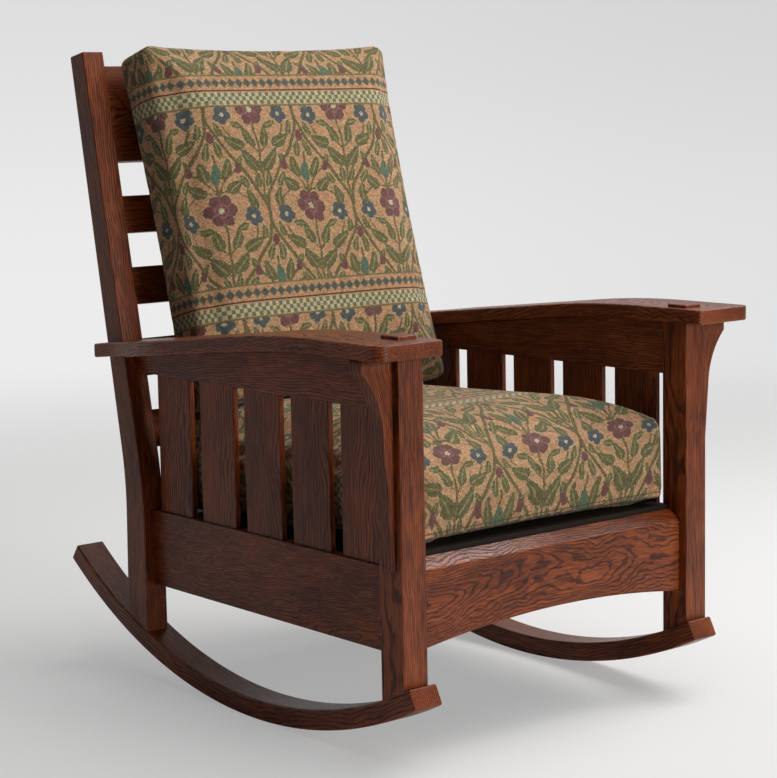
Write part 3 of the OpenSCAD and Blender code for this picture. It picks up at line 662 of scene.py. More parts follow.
@dataclass(frozen=True)
class FumedOak:
    """Fumed oak under a satin lacquer.

    Ammonia fumes turn oak a deep red brown right through. Its open pores lie in the spring wood of
    each ring, so each ring shows as a thin broken dark line, and a board sawn flat shows them as
    arches. The lacquer gives soft highlights, duller in the pores. Rings stand 3.3 mm apart and
    pore streaks about 1.6 mm, the finest that still show.
    """

    name: str = "fumed_oak_satin_lacquer"
    light: str = "#944a20"
    middle: str = "#5b250b"
    dark: str = "#260e06"
    ring_mm: float = 3.3
    roughness: float = 0.3
    pore_roughness: float = 0.55
    shine: float = 0.26
    base_tone: float = -0.08
    line_tone: float = -0.42
    fleck_tone: float = -0.22
    cloud_tone: float = 0.7
    streak_tone: float = 0.9

    def make(self) -> bpy.types.Material:
        """Builds the material from each board's grain attribute."""
        material = bpy.data.materials.new(self.name)
        add = Shading(material).add
        grain = add("Attribute", attribute_name="grain").outputs["Vector"]

        def streaked(scale: tuple, detail: float, source: object = grain) -> bpy.types.Node:
            """Noise with this many features to the metre along each of the grain's directions."""
            drawn = add("Mapping", Vector=source, Scale=scale)
            return add("TexNoise", Vector=drawn, Scale=1.0, Detail=detail)

        # Fibres wander by some 14 mm over a board's length and 3 mm over a hand's width, times the
        # board's own share.
        bent = grain
        much = add("Attribute", attribute_name="wander").outputs["Fac"]
        for scale, reach in (((5, 5, 3.5), 0.07), ((25, 25, 17), 0.015)):
            stray = add("VectorMath.SUBTRACT", streaked(scale, 2.0).outputs["Color"], (0.5, 0.5, 0.5))
            stray = add("VectorMath.SCALE", stray, Scale=much)
            bent = add("VectorMath.MULTIPLY_ADD", stray, (reach, reach, 0.0), bent)
        # Rings: a wave over the distance from the pith, whose crests are the spring wood.
        across = add("VectorMath.MULTIPLY", bent, (1, 1, 0))
        radius = add("VectorMath.LENGTH", across).outputs["Value"]
        turns = add("Math.MULTIPLY", radius, 1000 / self.ring_mm)
        wave = add("Math.SINE", add("Math.MULTIPLY", turns, 2 * math.pi))
        spring = add("MapRange", wave, 0.2, 0.95, interpolation_type="SMOOTHSTEP")
        # Pores break the spring wood into streaks some 33 mm long.
        pores = streaked((620, 620, 30), 2.0, bent)
        broken = add("MapRange", pores, 0.28, 0.55, interpolation_type="SMOOTHSTEP")
        lines = add("Math.MULTIPLY", spring, broken)
        fine = streaked((1100, 1100, 60), 2.0, bent)
        flecks = add("MapRange", fine, 0.56, 0.72, interpolation_type="SMOOTHSTEP")
        clouds, streaks = streaked((16, 16, 5), 3.0), streaked((330, 330, 22), 3.0, bent)
        tone = self.base_tone
        for pattern, share in (
            (clouds, self.cloud_tone),
            (lines, self.line_tone),
            (flecks, self.fleck_tone),
            (streaks, self.streak_tone),
        ):
            tone = add("Math.MULTIPLY_ADD", pattern, share, tone)
        ramp = add("ValToRGB", tone)
        stops = ramp.color_ramp.elements
        stops[0].position, stops[0].color = 0.12, linear(self.dark)
        stops[1].position, stops[1].color = 0.92, linear(self.light)
        stops.new(0.54).color = linear(self.middle)
        hollow = add("Math.MAXIMUM", add("Math.MULTIPLY", lines, 0.7), flecks)
        rough = add("MapRange", hollow, 0.0, 1.0, self.roughness, self.pore_roughness)
        bump = add("Bump", invert=True, Strength=0.35, Distance=0.0005, Height=hollow)
        lacquer = {"Roughness": rough, "Normal": bump, "Specular IOR Level": self.shine}
        add("OutputMaterial", Surface=add("BsdfPrincipled", Base_Color=ramp, **lacquer))
        return material


@dataclass(frozen=True)
class PlainWood:
    """Sanded plain wood for hidden work, with no lacquer: a dry surface with faint grain."""

    name: str
    light: str
    dark: str
    along: tuple[float, float, float]
    roughness: float = 0.6
    shine: float = 0.15

    def make(self) -> bpy.types.Material:
        """Builds the material on object coordinates, with its grain drawn out along one axis."""
        material = bpy.data.materials.new(self.name)
        add = Shading(material).add
        drawn = add("Mapping", Vector=add("TexCoord").outputs["Object"], Scale=self.along)
        streak = add("TexNoise", Vector=drawn, Scale=1.0, Detail=4.0)
        ramp = add("ValToRGB", streak)
        stops = ramp.color_ramp.elements
        stops[0].position, stops[0].color = 0.3, linear(self.dark)
        stops[1].position, stops[1].color = 0.7, linear(self.light)
        bump = add("Bump", Strength=0.3, Distance=0.0005, Height=streak)
        dry = {"Roughness": self.roughness, "Normal": bump, "Specular IOR Level": self.shine}
        add("OutputMaterial", Surface=add("BsdfPrincipled", Base_Color=ramp, **dry))
        return material


@dataclass(frozen=True)
class ZincSteel:
    """Zinc-plated steel of the screws: grey metal with faint turning marks about 1 mm apart."""

    name: str = "zinc_plated_steel"
    tint: str = "#a9adb3"
    shade: str = "#8f9399"

    def make(self) -> bpy.types.Material:
        """Builds the material on object coordinates."""
        material = bpy.data.materials.new(self.name)
        add = Shading(material).add
        mark = add("TexNoise", Vector=add("TexCoord").outputs["Object"], Scale=900.0, Detail=2.0)
        rough = add("MapRange", mark, 0.0, 1.0, 0.28, 0.45)
        mixed = add("Mix", mark, *NO_NUMBERS, linear(self.shade), linear(self.tint), data_type="RGBA")
        metal = {"Base Color": mixed.outputs[2], "Metallic": 1.0, "Roughness": rough}
        add("OutputMaterial", Surface=add("BsdfPrincipled", **metal))
        return material


@dataclass(frozen=True)
class Pattern:
    """A generic woven design in millimetres on the cloth: a trellis of ogees, each with a spray.

    The trellis is of half-drop cells, whose half width at a height y is a quarter of the cell's
    width times 1 + cos(2 pi y / height). Every motif is mirrored about its cell's middle. A leaf
    or a bud has its middle, the turn of its axis, its length and its half width; a twig has its two
    ends, its bow and its half width.
    """

    scale: float = 1.16
    wide: float = 150.0
    tall: float = 290.0
    leaves: tuple = (
        ((9, -94), 1.35, 25, 5.0),
        ((17, -68), 0.85, 37, 8.6),
        ((40, -42), 0.45, 34, 8.2),
        ((15, -33), 1.2, 32, 7.0),
        ((52, 23), 1.75, 31, 7.4),
        ((29, 39), 0.65, 30, 8.0),
        ((18, 65), 1.2, 32, 7.4),
        ((9, 93), 1.85, 26, 5.4),
        ((37, -70), 2.0, 22, 5.4),
        ((60, -23), 1.3, 22, 5.2),
        ((44, 49), 2.2, 22, 5.2),
        ((29, -17), 0.25, 19, 4.8),
    )
    twigs: tuple = (
        ((0, -84), (26, -60), -3, 1.4),
        ((0, -72), (50, -18), -8, 1.5),
        ((0, -56), (20, -22), -4, 1.3),
        ((0, 26), (36, 66), 5, 1.4),
        ((0, 32), (54, 14), 9, 1.3),
    )
    buds: tuple = (((36, 67), 1.2, 16, 5.4), ((0, 111), math.pi / 2, 19, 6.0))
    sepal: tuple = ((0, 60), math.pi / 2, 32, 7.6)
    rose_at: tuple[float, float] = (0.0, 8.0)
    rose_radius: float = 24.0
    flower_at: tuple[float, float] = (48.0, -2.0)
    flower_radius: float = 14.5

    def leaf(
        self, x: np.ndarray, y: np.ndarray, at: tuple, turn: float, length: float, half: float
    ) -> np.ndarray:
        """Distance from a leaf, whose half width is a half ellipse that narrows towards its tip."""
        c, s = math.cos(turn), math.sin(turn)
        along = (x - at[0]) * c + (y - at[1]) * s
        aside = -(x - at[0]) * s + (y - at[1]) * c
        share = np.clip(2 * along / length, -1, 1)
        body = half * np.sqrt(1 - share**2) * (1 - 0.35 * share)
        bent = aside - 0.24 * half * share**2
        return np.abs(bent) - body + np.maximum(np.abs(along) - length / 2, 0)

    def twig(
        self, x: np.ndarray, y: np.ndarray, start: tuple, stop: tuple, sag: float, half: float
    ) -> np.ndarray:
        """Distance from a twig between two points, bowed aside as a parabola of this height."""
        dx, dy = stop[0] - start[0], stop[1] - start[1]
        length = math.hypot(dx, dy)
        along = ((x - start[0]) * dx + (y - start[1]) * dy) / length
        aside = (-(x - start[0]) * dy + (y - start[1]) * dx) / length
        share = np.clip(along / length, 0, 1)
        steep = sag * 4 * (1 - 2 * share) / length
        gap = np.abs(aside - 4 * sag * share * (1 - share)) / np.sqrt(1 + steep**2)
        return gap - half + np.maximum(-along, 0) + np.maximum(along - length, 0)

    def vein(self, x: np.ndarray, y: np.ndarray, at: tuple, turn: float, length: float) -> np.ndarray:
        """Distance from the vein of a leaf, which stops short of both its ends."""
        reach = np.array([math.cos(turn), math.sin(turn)]) * length
        return self.twig(x, y, at - 0.4 * reach, at + 0.34 * reach, 0, 0.9)

    def motifs(self, x: np.ndarray, y: np.ndarray) -> dict[str, np.ndarray]:
        """Distances to each kind of motif, from places beside the middle of a cell."""
        turn = 2 * math.pi * y / self.tall
        steep = self.wide / 4 * 2 * math.pi / self.tall * np.sin(turn)
        trellis = np.abs(x - self.wide / 4 * (1 + np.cos(turn))) / np.sqrt(1 + steep**2) - 2.5
        stem = x - 1.9 + np.maximum(np.abs(y + 18) - 104, 0)
        (rose, way), (flower, small_way) = (
            (np.hypot(x - at[0], y - at[1]), np.arctan2(y - at[1], x - at[0]))
            for at in (self.rose_at, self.flower_at)
        )
        rose_lobes = 0.72 + 0.28 * np.abs(np.cos(3 * way)) ** 0.7
        flower_lobes = 0.66 + 0.34 * np.abs(np.cos(2.5 * small_way + 1)) ** 0.7
        spoke = np.abs(np.mod(3 * way / math.pi, 1) - 0.5) * math.pi / 3 * rose - 1.0
        found = {
            "stem": [trellis, stem] + [self.twig(x, y, *each) for each in self.twigs],
            "leaf": [self.leaf(x, y, *each) for each in self.leaves],
            "vein": [self.vein(x, y, *each[:3]) for each in self.leaves],
            "bud": [self.leaf(x, y, *each) for each in self.buds],
            "sepal": [self.leaf(x, y, *self.sepal)],
            "rose": [rose - self.rose_radius * rose_lobes],
            "petal": [spoke, np.abs(rose - 9.5) - 1.1],
            "flower": [flower - self.flower_radius * flower_lobes],
            "heart": [rose - 4.4, flower - 3.1],
        }
        return {kind: np.minimum.reduce(each) for kind, each in found.items()}

    def fields(self, u: np.ndarray, v: np.ndarray) -> dict[str, np.ndarray]:
        """Distances to each kind of motif, negative inside it.

        Args:
            u: place across the cloth in millimetres.
            v: place up the cloth in millimetres.

        Returns:
            One array for each kind.
        """
        u, v = u / self.scale, v / self.scale
        # The hand of the weaver: every line strays by up to 2.5 mm.
        stray_u = 1.5 * np.sin(v / 19) + np.sin(v / 7.3 + u / 31)
        stray_v = 1.5 * np.sin(u / 17) + np.sin(u / 8.1 + v / 27)
        cells = []
        for drop in (0.0, 0.5):
            x = np.abs(np.mod(u + stray_u + (drop + 0.5) * self.wide, self.wide) - self.wide / 2)
            y = np.mod(v + stray_v + (drop + 0.5) * self.tall, self.tall) - self.tall / 2
            cells.append(self.motifs(x, y))
        return {kind: np.minimum(cells[0][kind], cells[1][kind]) * self.scale for kind in cells[0]}


@dataclass(frozen=True)
class Tapestry:
    """Woven tapestry of wool and cotton: a matt cloth whose threads show as small flecks.

    The threads are drawn 2.1 mm apart, about twice as coarse as the real ones, to show at all. The
    band's sizes are in metres, with its rows and lines given from its lower border.
    """

    name: str = "woven_wool_tapestry"
    ground: str = "#b98e6a"
    ground_shade: str = "#9f7856"
    olive: str = "#696440"
    olive_shade: str = "#565030"
    outline: str = "#a5986f"
    plum: str = "#684440"
    plum_light: str = "#86605a"
    slate: str = "#4d504f"
    sage: str = "#52634f"
    green: str = "#6b6b48"
    cream: str = "#b0a585"
    brown: str = "#4a3628"
    thread: float = 0.0021
    check: float = 0.0068
    checks_at: float = 0.004
    band: float = 0.056
    band_every: float = 0.348
    lozenge: float = 0.0156
    lozenges_at: float = 0.0412

    def make(self) -> bpy.types.Material:
        """Builds the cloth from the distances and places stored on the cushion's mesh."""
        material = bpy.data.materials.new(self.name)
        add = Shading(material).add
        cloth = add("UVMap", uv_map="cloth").outputs["UV"]

        def threads(run: int, away: float) -> bpy.types.NodeSocket:
            """A chance value for each run of this many threads."""
            cell = add("VectorMath.SNAP", cloth, (run * self.thread, self.thread, 1.0))
            moved = add("VectorMath.ADD", cell, (away, away, 0.0))
            return add("TexWhiteNoise", Vector=moved, noise_dimensions="2D").outputs["Value"]

        def between(value: object, low: float, high: float) -> bpy.types.Node:
            """One where a value lies between two limits, and none elsewhere."""
            return add("Math.COMPARE", value, (low + high) / 2, (high - low) / 2)

        def over(share: object, under: object, paint: object) -> bpy.types.NodeSocket:
            """One colour laid over another by its share."""
            return add("Mix", share, *NO_NUMBERS, under, paint, data_type="RGBA").outputs[2]

        fleck = threads(1, 0.37)
        ragged = add("Math.MULTIPLY_ADD", fleck, 2.6, -1.3)
        slightly = add("Math.MULTIPLY", ragged, 0.5)

        def shape(name: str, more: float = 0.0, fray: bpy.types.Node = ragged) -> bpy.types.Node:
            """Coverage of one kind of motif, drawn in by this much, its border frayed by threads."""
            distance = add("Attribute", attribute_name=name).outputs["Fac"]
            frayed = add("Math.ADD", add("Math.ADD", distance, more), fray)
            return add("MapRange", frayed, -0.6, 0.6, 1.0, 0.0, interpolation_type="SMOOTHSTEP")

        ground = over(threads(3, 0.91), linear(self.ground_shade), linear(self.ground))
        olive = over(fleck, linear(self.olive_shade), linear(self.olive))
        line, plum, slate = linear(self.outline), linear(self.plum), linear(self.slate)
        rose = shape("rose")
        veins = add("Math.MULTIPLY", shape("vein", 0.0, slightly), shape("leaf", 1.0))
        petals = add("Math.MULTIPLY", shape("petal", 0.0, slightly), rose)
        layers = [(add("Math.MULTIPLY", shape(name, -1.4), 0.8), line) for name in ("leaf", "rose", "flower")]
        layers += [
            (shape("stem", 0.0, slightly), olive),
            (shape("leaf"), olive),
            (add("Math.MULTIPLY", veins, 0.6), line),
            (shape("sepal"), linear(self.sage)),
            (shape("bud"), plum),
            (shape("flower"), slate),
            (rose, plum),
            (add("Math.MULTIPLY", petals, 0.8), linear(self.plum_light)),
            (shape("heart"), linear(self.cream)),
        ]

        # The band: three rows of checks, lines, and a row of slate lozenges on the ground.
        across = add("SeparateXYZ", cloth).outputs["X"]
        rise = add("Attribute", attribute_name="rise").outputs["Fac"]
        rise = add("Math.WRAP", rise, self.band_every, 0.0)
        wave, start = math.pi / self.check, self.checks_at
        columns = add("Math.SINE", add("Math.MULTIPLY", across, wave))
        rows = add("Math.SINE", add("Math.MULTIPLY_ADD", rise, wave, -start * wave))
        paler = add("Math.GREATER_THAN", add("Math.MULTIPLY", columns, rows), 0.0)
        checks = over(paler, linear(self.green), linear(self.cream))
        slope = add("Math.ABSOLUTE", add("Math.SUBTRACT", rise, self.lozenges_at))
        diamond = add("Math.ADD", add("Math.PINGPONG", across, self.lozenge / 2), slope)
        seam = add("Attribute", attribute_name="seam").outputs["Fac"]
        layers += [
            (between(rise, 0.0, self.band), ground),
            (between(rise, start, start + 3 * self.check), checks),
            (between(rise, 0.0, 0.0028), linear(self.olive)),
            (between(rise, 0.0268, 0.0292), linear(self.brown)),
            (between(rise, 0.0532, self.band), linear(self.olive)),
            (between(diamond, 0.0, 0.0062), slate),
            (between(diamond, 0.0062, 0.0086), linear(self.olive)),
            # A dark brown line within a millimetre of the seam is painted shade in the seam's sunk crease.
            (add("Math.MULTIPLY", between(seam, -1.0, 1.0), 0.75), linear(self.brown)),
        ]
        colour = ground
        for share, paint in layers:
            colour = over(share, colour, paint)

        shade = add("MapRange", threads(1, 0.13), 0.0, 1.0, 0.7, 1.3)
        toned = add("VectorMath.SCALE", colour, Scale=shade)
        bump = add("Bump", Strength=0.5, Distance=0.0008, Height=fleck)
        wool = {"Sheen Weight": 0.12, "Sheen Roughness": 0.6, "Specular IOR Level": 0.12}
        shader = add("BsdfPrincipled", Base_Color=toned, Roughness=0.92, Normal=bump, **wool)
        add("OutputMaterial", Surface=shader)
        return material


# Cushions


@dataclass(frozen=True)
class Cushion:
    """A loose boxed cushion, stuffed by a short cloth simulation, in millimetres.

    Its own frame has X across, Y along its length and Z out of its crowned face, from the middle
    of its lower face.

    Attributes:
        node_name: the CAD node that it stands for.
        width, length, height: its size without its crowns.
        top_crown, low_crown: how far its upper and its lower face bulge.
        edge, low_edge, corner: radii of its upper edges, lower edges and upright corners.
        draw: how far its sides are drawn in between the corners, before it is stuffed.
        origin, tilt: where its frame stands, and its turn about X.
        seam: height of the seam in its borders.
        phase, band_at: where the pattern and its bands start along the cloth.
        fill: how full it is, as a share; not used.
        shrink: how much smaller it starts on each side, to swell out to its size.
        swell_cap: the farthest that a point may swell.
        give: the share that is kept of a move inwards.
        voxel: size of the faces that the simulation moves.
    """

    node_name: str
    width: float
    length: float
    height: float
    top_crown: float
    low_crown: float
    edge: float
    low_edge: float
    corner: float
    draw: float
    origin: tuple[float, float, float]
    tilt: float
    seam: float
    phase: float
    band_at: float
    fill: float
    shrink: float = 5.0
    swell_cap: float = 9.0
    give: float = 0.3
    voxel: float = 5.0

    def rings(self) -> np.ndarray:
        """The cushion before stuffing, as rings from its lower to its upper face.

        Each ring is a rectangle with rounded corners and sides drawn in by a parabola. Up the
        edges the rings are drawn in by a quarter circle, and over a crowned face they shrink by a
        share s while they rise by the crown times 1 - s^4.
        """
        less = self.shrink
        w, d, h = self.width - 2 * less, self.length - 2 * less, self.height - 2 * less
        edge, low_edge, corner = self.edge - less / 2, self.low_edge - less / 2, self.corner - less / 2
        lean = 2 * np.linspace(0, 1, 22)[1:-1] - 1
        angle = np.linspace(0, math.pi / 2, 9)

        def ring(inset: float, share: float, z: float) -> np.ndarray:
            """One ring at a height."""
            sides = []
            for turn in range(4):
                a, b = (w, d) if turn % 2 == 0 else (d, w)
                a, b = a / 2 - inset, b / 2 - inset
                r = max(corner - inset, 1.5)
                flank = np.stack([a - self.draw * (1 - lean**2), lean * (b - r)], -1)
                bend = np.stack([a - r + r * np.cos(angle), b - r + r * np.sin(angle)], -1)
                x, y = (np.concatenate([flank, bend]) * share).T
                c, s = (1, 0, -1, 0)[turn], (0, 1, 0, -1)[turn]
                sides.append(np.stack([x * c - y * s, x * s + y * c], -1))
            flat = np.concatenate(sides)
            return np.column_stack([flat, np.full(len(flat), z + less)])

        up = np.linspace(0, math.pi / 2, 7)
        shares = np.linspace(0.06, 0.97, 22)
        made = [ring(low_edge, s, -self.low_crown * (1 - s**4)) for s in shares]
        made += [ring(low_edge * (1 - math.sin(a)), 1, low_edge * (1 - math.cos(a))) for a in up]
        made += [ring(edge * (1 - math.cos(a)), 1, h - edge * (1 - math.sin(a))) for a in up]
        made += [ring(edge, s, h + self.top_crown * (1 - s**4)) for s in shares[::-1]]
        return np.array(made)

    def to_chair(self, local: np.ndarray) -> np.ndarray:
        """Turns points of the cushion's own frame into metres in the CAD's frame."""
        c, s = math.cos(self.tilt), math.sin(self.tilt)
        x, y, z = np.asarray(local, float).T
        return to_frame(np.stack([x, y * c - z * s, y * s + z * c], -1) + self.origin)

    def turned_back(self, vectors: np.ndarray) -> np.ndarray:
        """Vectors of the CAD's frame as the cushion's own frame has them."""
        c, s = math.cos(self.tilt), math.sin(self.tilt)
        x, y, z = vectors.T
        return np.stack([x, y * c + z * s, -y * s + z * c], -1)

    def to_local(self, placed: np.ndarray) -> np.ndarray:
        """The reverse of to_chair."""
        return self.turned_back(placed / MM + [0, PLAN.mid_y, 0] - self.origin)

    def stuff(self, piece: bpy.types.Object) -> None:
        """Remeshes a piece evenly, swells it with Blender's cloth and a pressure, and keeps that.

        Args:
            piece: the cushion's object, whose mesh is replaced.
        """
        remesh = piece.modifiers.new("even", "REMESH")
        remesh.mode, remesh.voxel_size = "VOXEL", self.voxel * MM
        self.keep(piece)
        self.swell(piece)
        fine = piece.modifiers.new("fine", "SUBSURF")
        fine.levels = fine.render_levels = 1
        self.keep(piece)

    def swell(self, piece: bpy.types.Object) -> None:
        """Runs the cloth for 20 frames, and moves the points as it did, within limits."""
        scene = bpy.context.scene
        rest = read(piece.data.vertices, "co", 3)
        cloth = piece.modifiers.new("stuffing", "CLOTH")
        cloth.settings.quality = 5
        cloth.settings.mass = 0.35
        cloth.settings.tension_stiffness = cloth.settings.compression_stiffness = 12
        cloth.settings.bending_stiffness = 0.8
        cloth.settings.use_pressure = True
        cloth.settings.uniform_pressure_force = 4.0
        cloth.settings.effector_weights.gravity = 0.0
        cloth.collision_settings.use_collision = False
        for frame in range(1, 21):
            scene.frame_set(frame)
        live = piece.evaluated_get(bpy.context.evaluated_depsgraph_get())
        move = read(live.data.vertices, "co", 3) - rest
        piece.modifiers.clear()
        scene.frame_set(1)
        inward = (move * read(piece.data.vertices, "normal", 3)).sum(1) < 0
        move[inward] *= self.give
        length = np.linalg.norm(move, axis=1)
        move *= np.minimum(1, self.swell_cap * MM / np.maximum(length, 1e-9))[:, None]
        self.write(piece, rest + move)

    def write(self, piece: bpy.types.Object, points: np.ndarray) -> None:
        """Puts points back into a piece's mesh."""
        piece.data.vertices.foreach_set("co", points.astype(np.float32).ravel())
        piece.data.update()

    def keep(self, piece: bpy.types.Object) -> None:
        """Applies every modifier of a piece."""
        live = piece.evaluated_get(bpy.context.evaluated_depsgraph_get())
        mesh = bpy.data.meshes.new_from_object(live)
        piece.modifiers.clear()
        old, piece.data = piece.data, mesh
        bpy.data.meshes.remove(old)

    def settle(self, local: np.ndarray) -> np.ndarray:
        """Brings the stuffed form to its full size, flattens the face it lies on, sinks its seam."""
        half = np.array([self.width, self.length]) / 2
        full_low = np.array([*-half, -self.low_crown])
        full_high = np.array([*half, self.height + self.top_crown])
        low, high = local.min(0), local.max(0)
        local = full_low + (local - low) / (high - low) * (full_high - full_low)
        if self.low_crown == 0:
            local[:, 2] = np.maximum(local[:, 2], 0.4)
        # The seam sinks by 2.2 mm over a few millimetres of height, on the borders alone.
        border = np.clip((np.abs(local[:, :2]) - half + self.edge).max(1) / self.edge, 0, 1)
        sink = 2.2 * np.exp(-(((local[:, 2] - self.seam) / 3.2) ** 2)) * border
        local[:, :2] *= 1 - sink[:, None] / half
        return local

    def dress(self, piece: bpy.types.Object) -> None:
        """Stores the cloth's places and the pattern's distances on the mesh.

        The front face and the borders round it are one unfolded sheet: a point's place is its X
        and Y, plus how far it has dropped behind the front border, shared between the two by its
        normal. The lower face is a sheet of its own. The seam attribute is the height above the
        seam in millimetres, and the rise is the place up the cloth from the bands' start in metres.
        """
        mesh = piece.data
        x, y, z = self.to_local(read(mesh.vertices, "co", 3)).T
        nx, ny, nz = self.turned_back(read(mesh.vertices, "normal", 3)).T
        drop = np.maximum(self.height - z, 0)
        share = nx**2 / np.maximum(nx**2 + ny**2, 1e-6)
        under = nz < -0.7
        u = np.where(under, x, x + np.sign(x) * drop * share)
        v = np.where(under, y + 900, y + np.sign(y) * drop * (1 - share))
        corner = read(mesh.loops, "vertex_index", 1, int)
        layer = mesh.uv_layers.new(name="cloth")
        layer.data.foreach_set("uv", (np.stack([u, v], -1)[corner] * MM).astype(np.float32).ravel())
        for name, values in Pattern().fields(u, v + self.phase).items():
            store(mesh, name, values)
        store(mesh, "seam", z - self.seam)
        store(mesh, "rise", (v - self.band_at) * MM)

    def make(self, body: str, finish: bpy.types.Material) -> bpy.types.Object:
        """Makes, stuffs and dresses the cushion in place of its CAD node.

        Args:
            body: the CAD body that it rides on.
            finish: the cloth.

        Returns:
            The cushion.
        """
        rings = self.rings()
        low, high = self.shrink - self.low_crown, self.height - self.shrink + self.top_crown
        points = np.concatenate([rings.reshape(-1, 3), [[0, 0, low], [0, 0, high]]])
        walls, poles = tube_faces(*rings.shape[:2])
        faces = walls.tolist() + poles.tolist()
        piece = surface(f"{self.node_name}_tapestry", self.to_chair(points), faces, finish)
        self.stuff(piece)
        self.write(piece, self.to_chair(self.settle(self.to_local(read(piece.data.vertices, "co", 3)))))
        self.dress(piece)
        piece.data.materials.clear()
        piece.data.materials.append(finish)
        piece.data.shade_smooth()
        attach(piece, body)
        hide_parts(self.node_name)
        return piece


def seat_cushion() -> Cushion:
    """The seat cushion, which lies on the sloping deck."""
    length, slope = 621.57, PLAN.deck_slope
    middle = length / 2 - 4
    return Cushion(
        node_name="seat_cushion",
        width=523,
        length=length,
        height=140,
        top_crown=42,
        low_crown=0,
        edge=20,
        low_edge=9,
        corner=10,
        draw=6,
        origin=(0.0, PLAN.deck_y + middle * math.cos(slope), PLAN.deck_z - middle * math.sin(slope)),
        tilt=-slope,
        seam=20.0,
        phase=-25.0,
        band_at=-160.0,
        fill=0.8,
    )


def back_cushion() -> Cushion:
    """The back cushion, which leans where its CAD node does, measured from that node's points."""
    lean, low_crown = math.radians(90 - 15.7), 24
    c, s = math.cos(lean), math.sin(lean)
    points = read(bpy.data.objects["back_cushion"].data.vertices, "co", 3)
    _, y, z = (points / MM + [0, PLAN.mid_y, 0]).T
    up, out = y * c + z * s, -y * s + z * c
    up_mid, out_low = (up.min() + up.max()) / 2 + 0.5, out.min() + low_crown
    return Cushion(
        node_name="back_cushion",
        width=496,
        length=595.5,
        height=105,
        top_crown=24,
        low_crown=low_crown,
        edge=17,
        low_edge=17,
        corner=20,
        draw=6,
        origin=(-3.0, up_mid * c - out_low * s, up_mid * s + out_low * c),
        tilt=lean,
        seam=8.0,
        phase=0.0,
        band_at=180.0,
        fill=0.7,
    )


# The studio


@dataclass(frozen=True)
class Lamp:
    """A square soft lamp that shines from one point to another and isn't seen itself, in metres."""

    name: str
    at: tuple[float, float, float]
    aim: tuple[float, float, float]
    size: float
    power: float

    def make(self) -> None:
        """Hangs the lamp."""
        data = bpy.data.lights.new(self.name, "AREA")
        data.shape, data.size, data.energy = "SQUARE", self.size, self.power
        lamp = place(self.name, data)
        back = unit(np.subtract(self.at, self.aim))
        right = unit(np.cross([0, 0, 1], back))
        turned = np.eye(4)
        turned[:3] = np.stack([right, np.cross(back, right), back, self.at], 1)
        lamp.matrix_world = turned.T.tolist()
        lamp.visible_camera = False


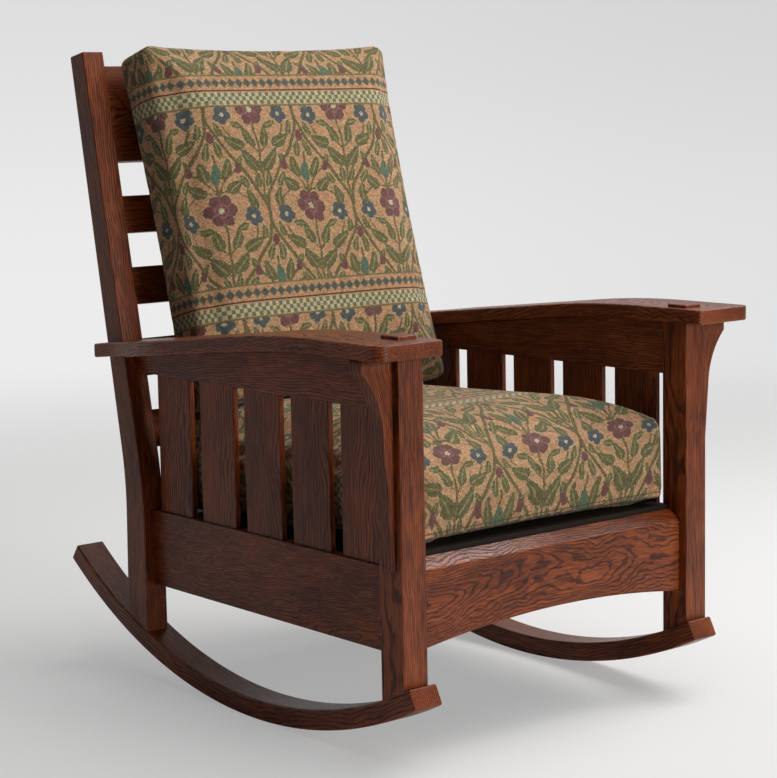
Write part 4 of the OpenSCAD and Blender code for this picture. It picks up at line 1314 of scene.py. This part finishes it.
@dataclass(frozen=True)
class Studio:
    """A pale floor that fades into a pale backdrop, soft lamps and the photograph's viewpoint."""

    camera_at: tuple[float, float, float] = (-2112.75, -2196.81, 926.22)
    yaw: float = math.radians(39.15)
    pitch: float = math.radians(-7.73)
    roll: float = math.radians(-1.11)
    focal_px: float = 2114.97
    frame_px: float = 778.0
    floor: str = "#f5f4f2"
    floor_z: float = -0.0005
    floor_glow: float = 0.42
    low_glow: float = 0.82
    high_glow: float = 0.71
    room: float = 0.06
    room_tint: str = "#f4f5f7"
    mirrored: float = 0.6
    lamps: tuple[Lamp, ...] = (
        Lamp("key_softbox", (1.6, -8.0, 1.7), (0.0, 0.0, 0.5), 3.2, 300),
        Lamp("top_softbox", (1.1, -0.9, 4.4), (0.0, 0.0, 0.0), 5.0, 145),
        Lamp("edge_softbox", (2.0, -0.6, 2.5), (0.0, -0.4, 0.3), 1.4, 38),
    )

    def camera(self) -> None:
        """Sets up the camera from its place, its three angles and its focal length in pixels."""
        data = bpy.data.cameras.new("viewpoint")
        data.sensor_width = 36.0
        data.lens = self.focal_px / self.frame_px * data.sensor_width
        data.clip_end = 100.0
        camera = place("viewpoint", data)
        level, rise = math.cos(self.pitch), math.sin(self.pitch)
        ahead = np.array([math.sin(self.yaw) * level, math.cos(self.yaw) * level, rise])
        right = unit(np.cross(ahead, [0, 0, 1]))
        up = np.cross(right, ahead)
        c, s = math.cos(self.roll), math.sin(self.roll)
        turned = np.eye(4)
        turned[:3] = np.stack([c * right + s * up, -s * right + c * up, -ahead, to_frame(self.camera_at)], 1)
        camera.matrix_world = turned.T.tolist()
        bpy.context.scene.camera = camera

    def ground(self) -> None:
        """A round floor, made of rings, that fades out into the backdrop."""
        around = 96
        turn = np.linspace(0, 2 * math.pi, around + 1)[:-1]
        radii = np.array([0.5, 1.5, 2.5, 4.0, 6.0, 9.0])[:, None]
        level = np.full((len(radii), around), self.floor_z)
        rings = np.stack([radii * np.cos(turn), radii * np.sin(turn), level], -1)
        walls = tube_faces(len(radii), around)[0][:, ::-1].tolist()
        faces = walls + [list(range(around))]
        surface("studio_floor", rings.reshape(-1, 3), faces, self.floor_paint())

    def floor_paint(self) -> bpy.types.Material:
        """Matt pale paint, clear at its rim so that the backdrop shows through.

        To the eye it glows a little, which makes the floor paler and keeps a softer shadow.
        """
        material = bpy.data.materials.new("matt_floor_paint")
        add = Shading(material).add
        far = add("VectorMath.LENGTH", add("TexCoord").outputs["Object"]).outputs["Value"]
        gone = add("MapRange", far, 1.2, 4.5, interpolation_type="SMOOTHSTEP")
        paint = add("BsdfDiffuse", Color=linear(self.floor))
        glow = add("Emission", Color=WHITE, Strength=self.low_glow)
        share = add("Math.MULTIPLY", add("LightPath").outputs["Is Camera Ray"], self.floor_glow)
        lit = add("MixShader", share, paint, glow)
        add("OutputMaterial", Surface=add("MixShader", gone, lit, add("BsdfTransparent")))
        return material

    def world(self) -> None:
        """A pale backdrop for the eye, and a dim room for the light.

        The backdrop darkens a little upwards and to the right. Polish mirrors it where it stands,
        behind the chair, and mirrors the dark room in front.
        """
        world = bpy.data.worlds.new("studio")
        bpy.context.scene.world = world
        add = Shading(world).add
        ray = add("LightPath").outputs
        way = add("TexCoord").outputs["Generated"]

        def along(direction: tuple, *limits: float) -> bpy.types.Node:
            """A strength that changes along a direction, between two places and two values."""
            share = add("VectorMath.DOT_PRODUCT", way, direction).outputs["Value"]
            return add("MapRange", share, *limits, interpolation_type="SMOOTHSTEP")

        c, s = math.cos(self.yaw), math.sin(self.yaw)
        rising = along((0.0, 0.0, 1.0), -0.09, 0.07, self.low_glow, self.high_glow)
        aside = along((c, -s, 0.0), -0.15, 0.2, 1.02, 0.93)
        seen = add("Background", Color=WHITE, Strength=add("Math.MULTIPLY", rising, aside))
        soft = add("Background", Color=linear(self.room_tint), Strength=self.room)
        behind = along((s, c, 0.0), -0.3, 0.6, self.room, self.mirrored)
        polish = add("Background", Color=WHITE, Strength=behind)
        light = add("MixShader", ray["Is Glossy Ray"], soft, polish)
        direct = add("Math.MAXIMUM", ray["Is Camera Ray"], ray["Is Transmission Ray"])
        add("OutputWorld", Surface=add("MixShader", direct, light, seen))

    def set_up(self) -> None:
        """Builds the whole studio."""
        bpy.context.scene.view_settings.view_transform = "Standard"
        self.camera()
        self.ground()
        self.world()
        for lamp in self.lamps:
            lamp.make()


def dress_hidden(frame: dict) -> None:
    """Gives the CAD nodes that stay their own wood or steel.
    """
    # The deck's near-black brown is painted shade: it stands for the dark gap under the seat cushion's front
    # edge.
    deck_painted_shade, deck_deeper_painted_shade = "#20150e", "#170f0a"
    across = PlainWood("painted_shade_deck_wood_across", deck_painted_shade, deck_deeper_painted_shade, (5, 90, 90)).make()
    lengthwise = PlainWood("painted_shade_deck_wood_lengthwise", deck_painted_shade, deck_deeper_painted_shade, (90, 5, 90)).make()
    peg = PlainWood("plain_dowel_wood", "#b48d61", "#94704a", (12, 140, 140)).make()
    steel = ZincSteel().make()
    for name, piece in frame["nodes"].items():
        if name.endswith("screws"):
            finish = steel
        elif name.endswith("dowels"):
            finish = peg
        elif name.startswith(("deck_side", "seat_cleat")):
            finish = lengthwise
        elif name.startswith("deck_"):
            finish = across
        else:
            continue
        for i in range(len(piece.data.materials)):
            piece.data.materials[i] = finish
        if not piece.data.materials:
            piece.data.materials.append(finish)


def main() -> None:
    """Loads the frame, builds the studio, the boards and the cushions, and logs their face counts."""
    logging.basicConfig(level=logging.INFO, format="%(name)s: %(message)s")
    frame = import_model()
    Studio().set_up()
    oak = FumedOak().make()
    for board in SideFrames().boards() + CrossBoards().boards():
        piece = board.make(oak)
        LOG.info("%s: %d faces", piece.name, len(piece.data.polygons))
    dress_hidden(frame)
    cloth = Tapestry().make()
    for cushion, body in ((seat_cushion(), "seat_cushion"), (back_cushion(), "back_cushion")):
        piece = cushion.make(body, cloth)
        LOG.info("%s: %d faces", piece.name, len(piece.data.polygons))


if __name__ == "__main__":
    main()
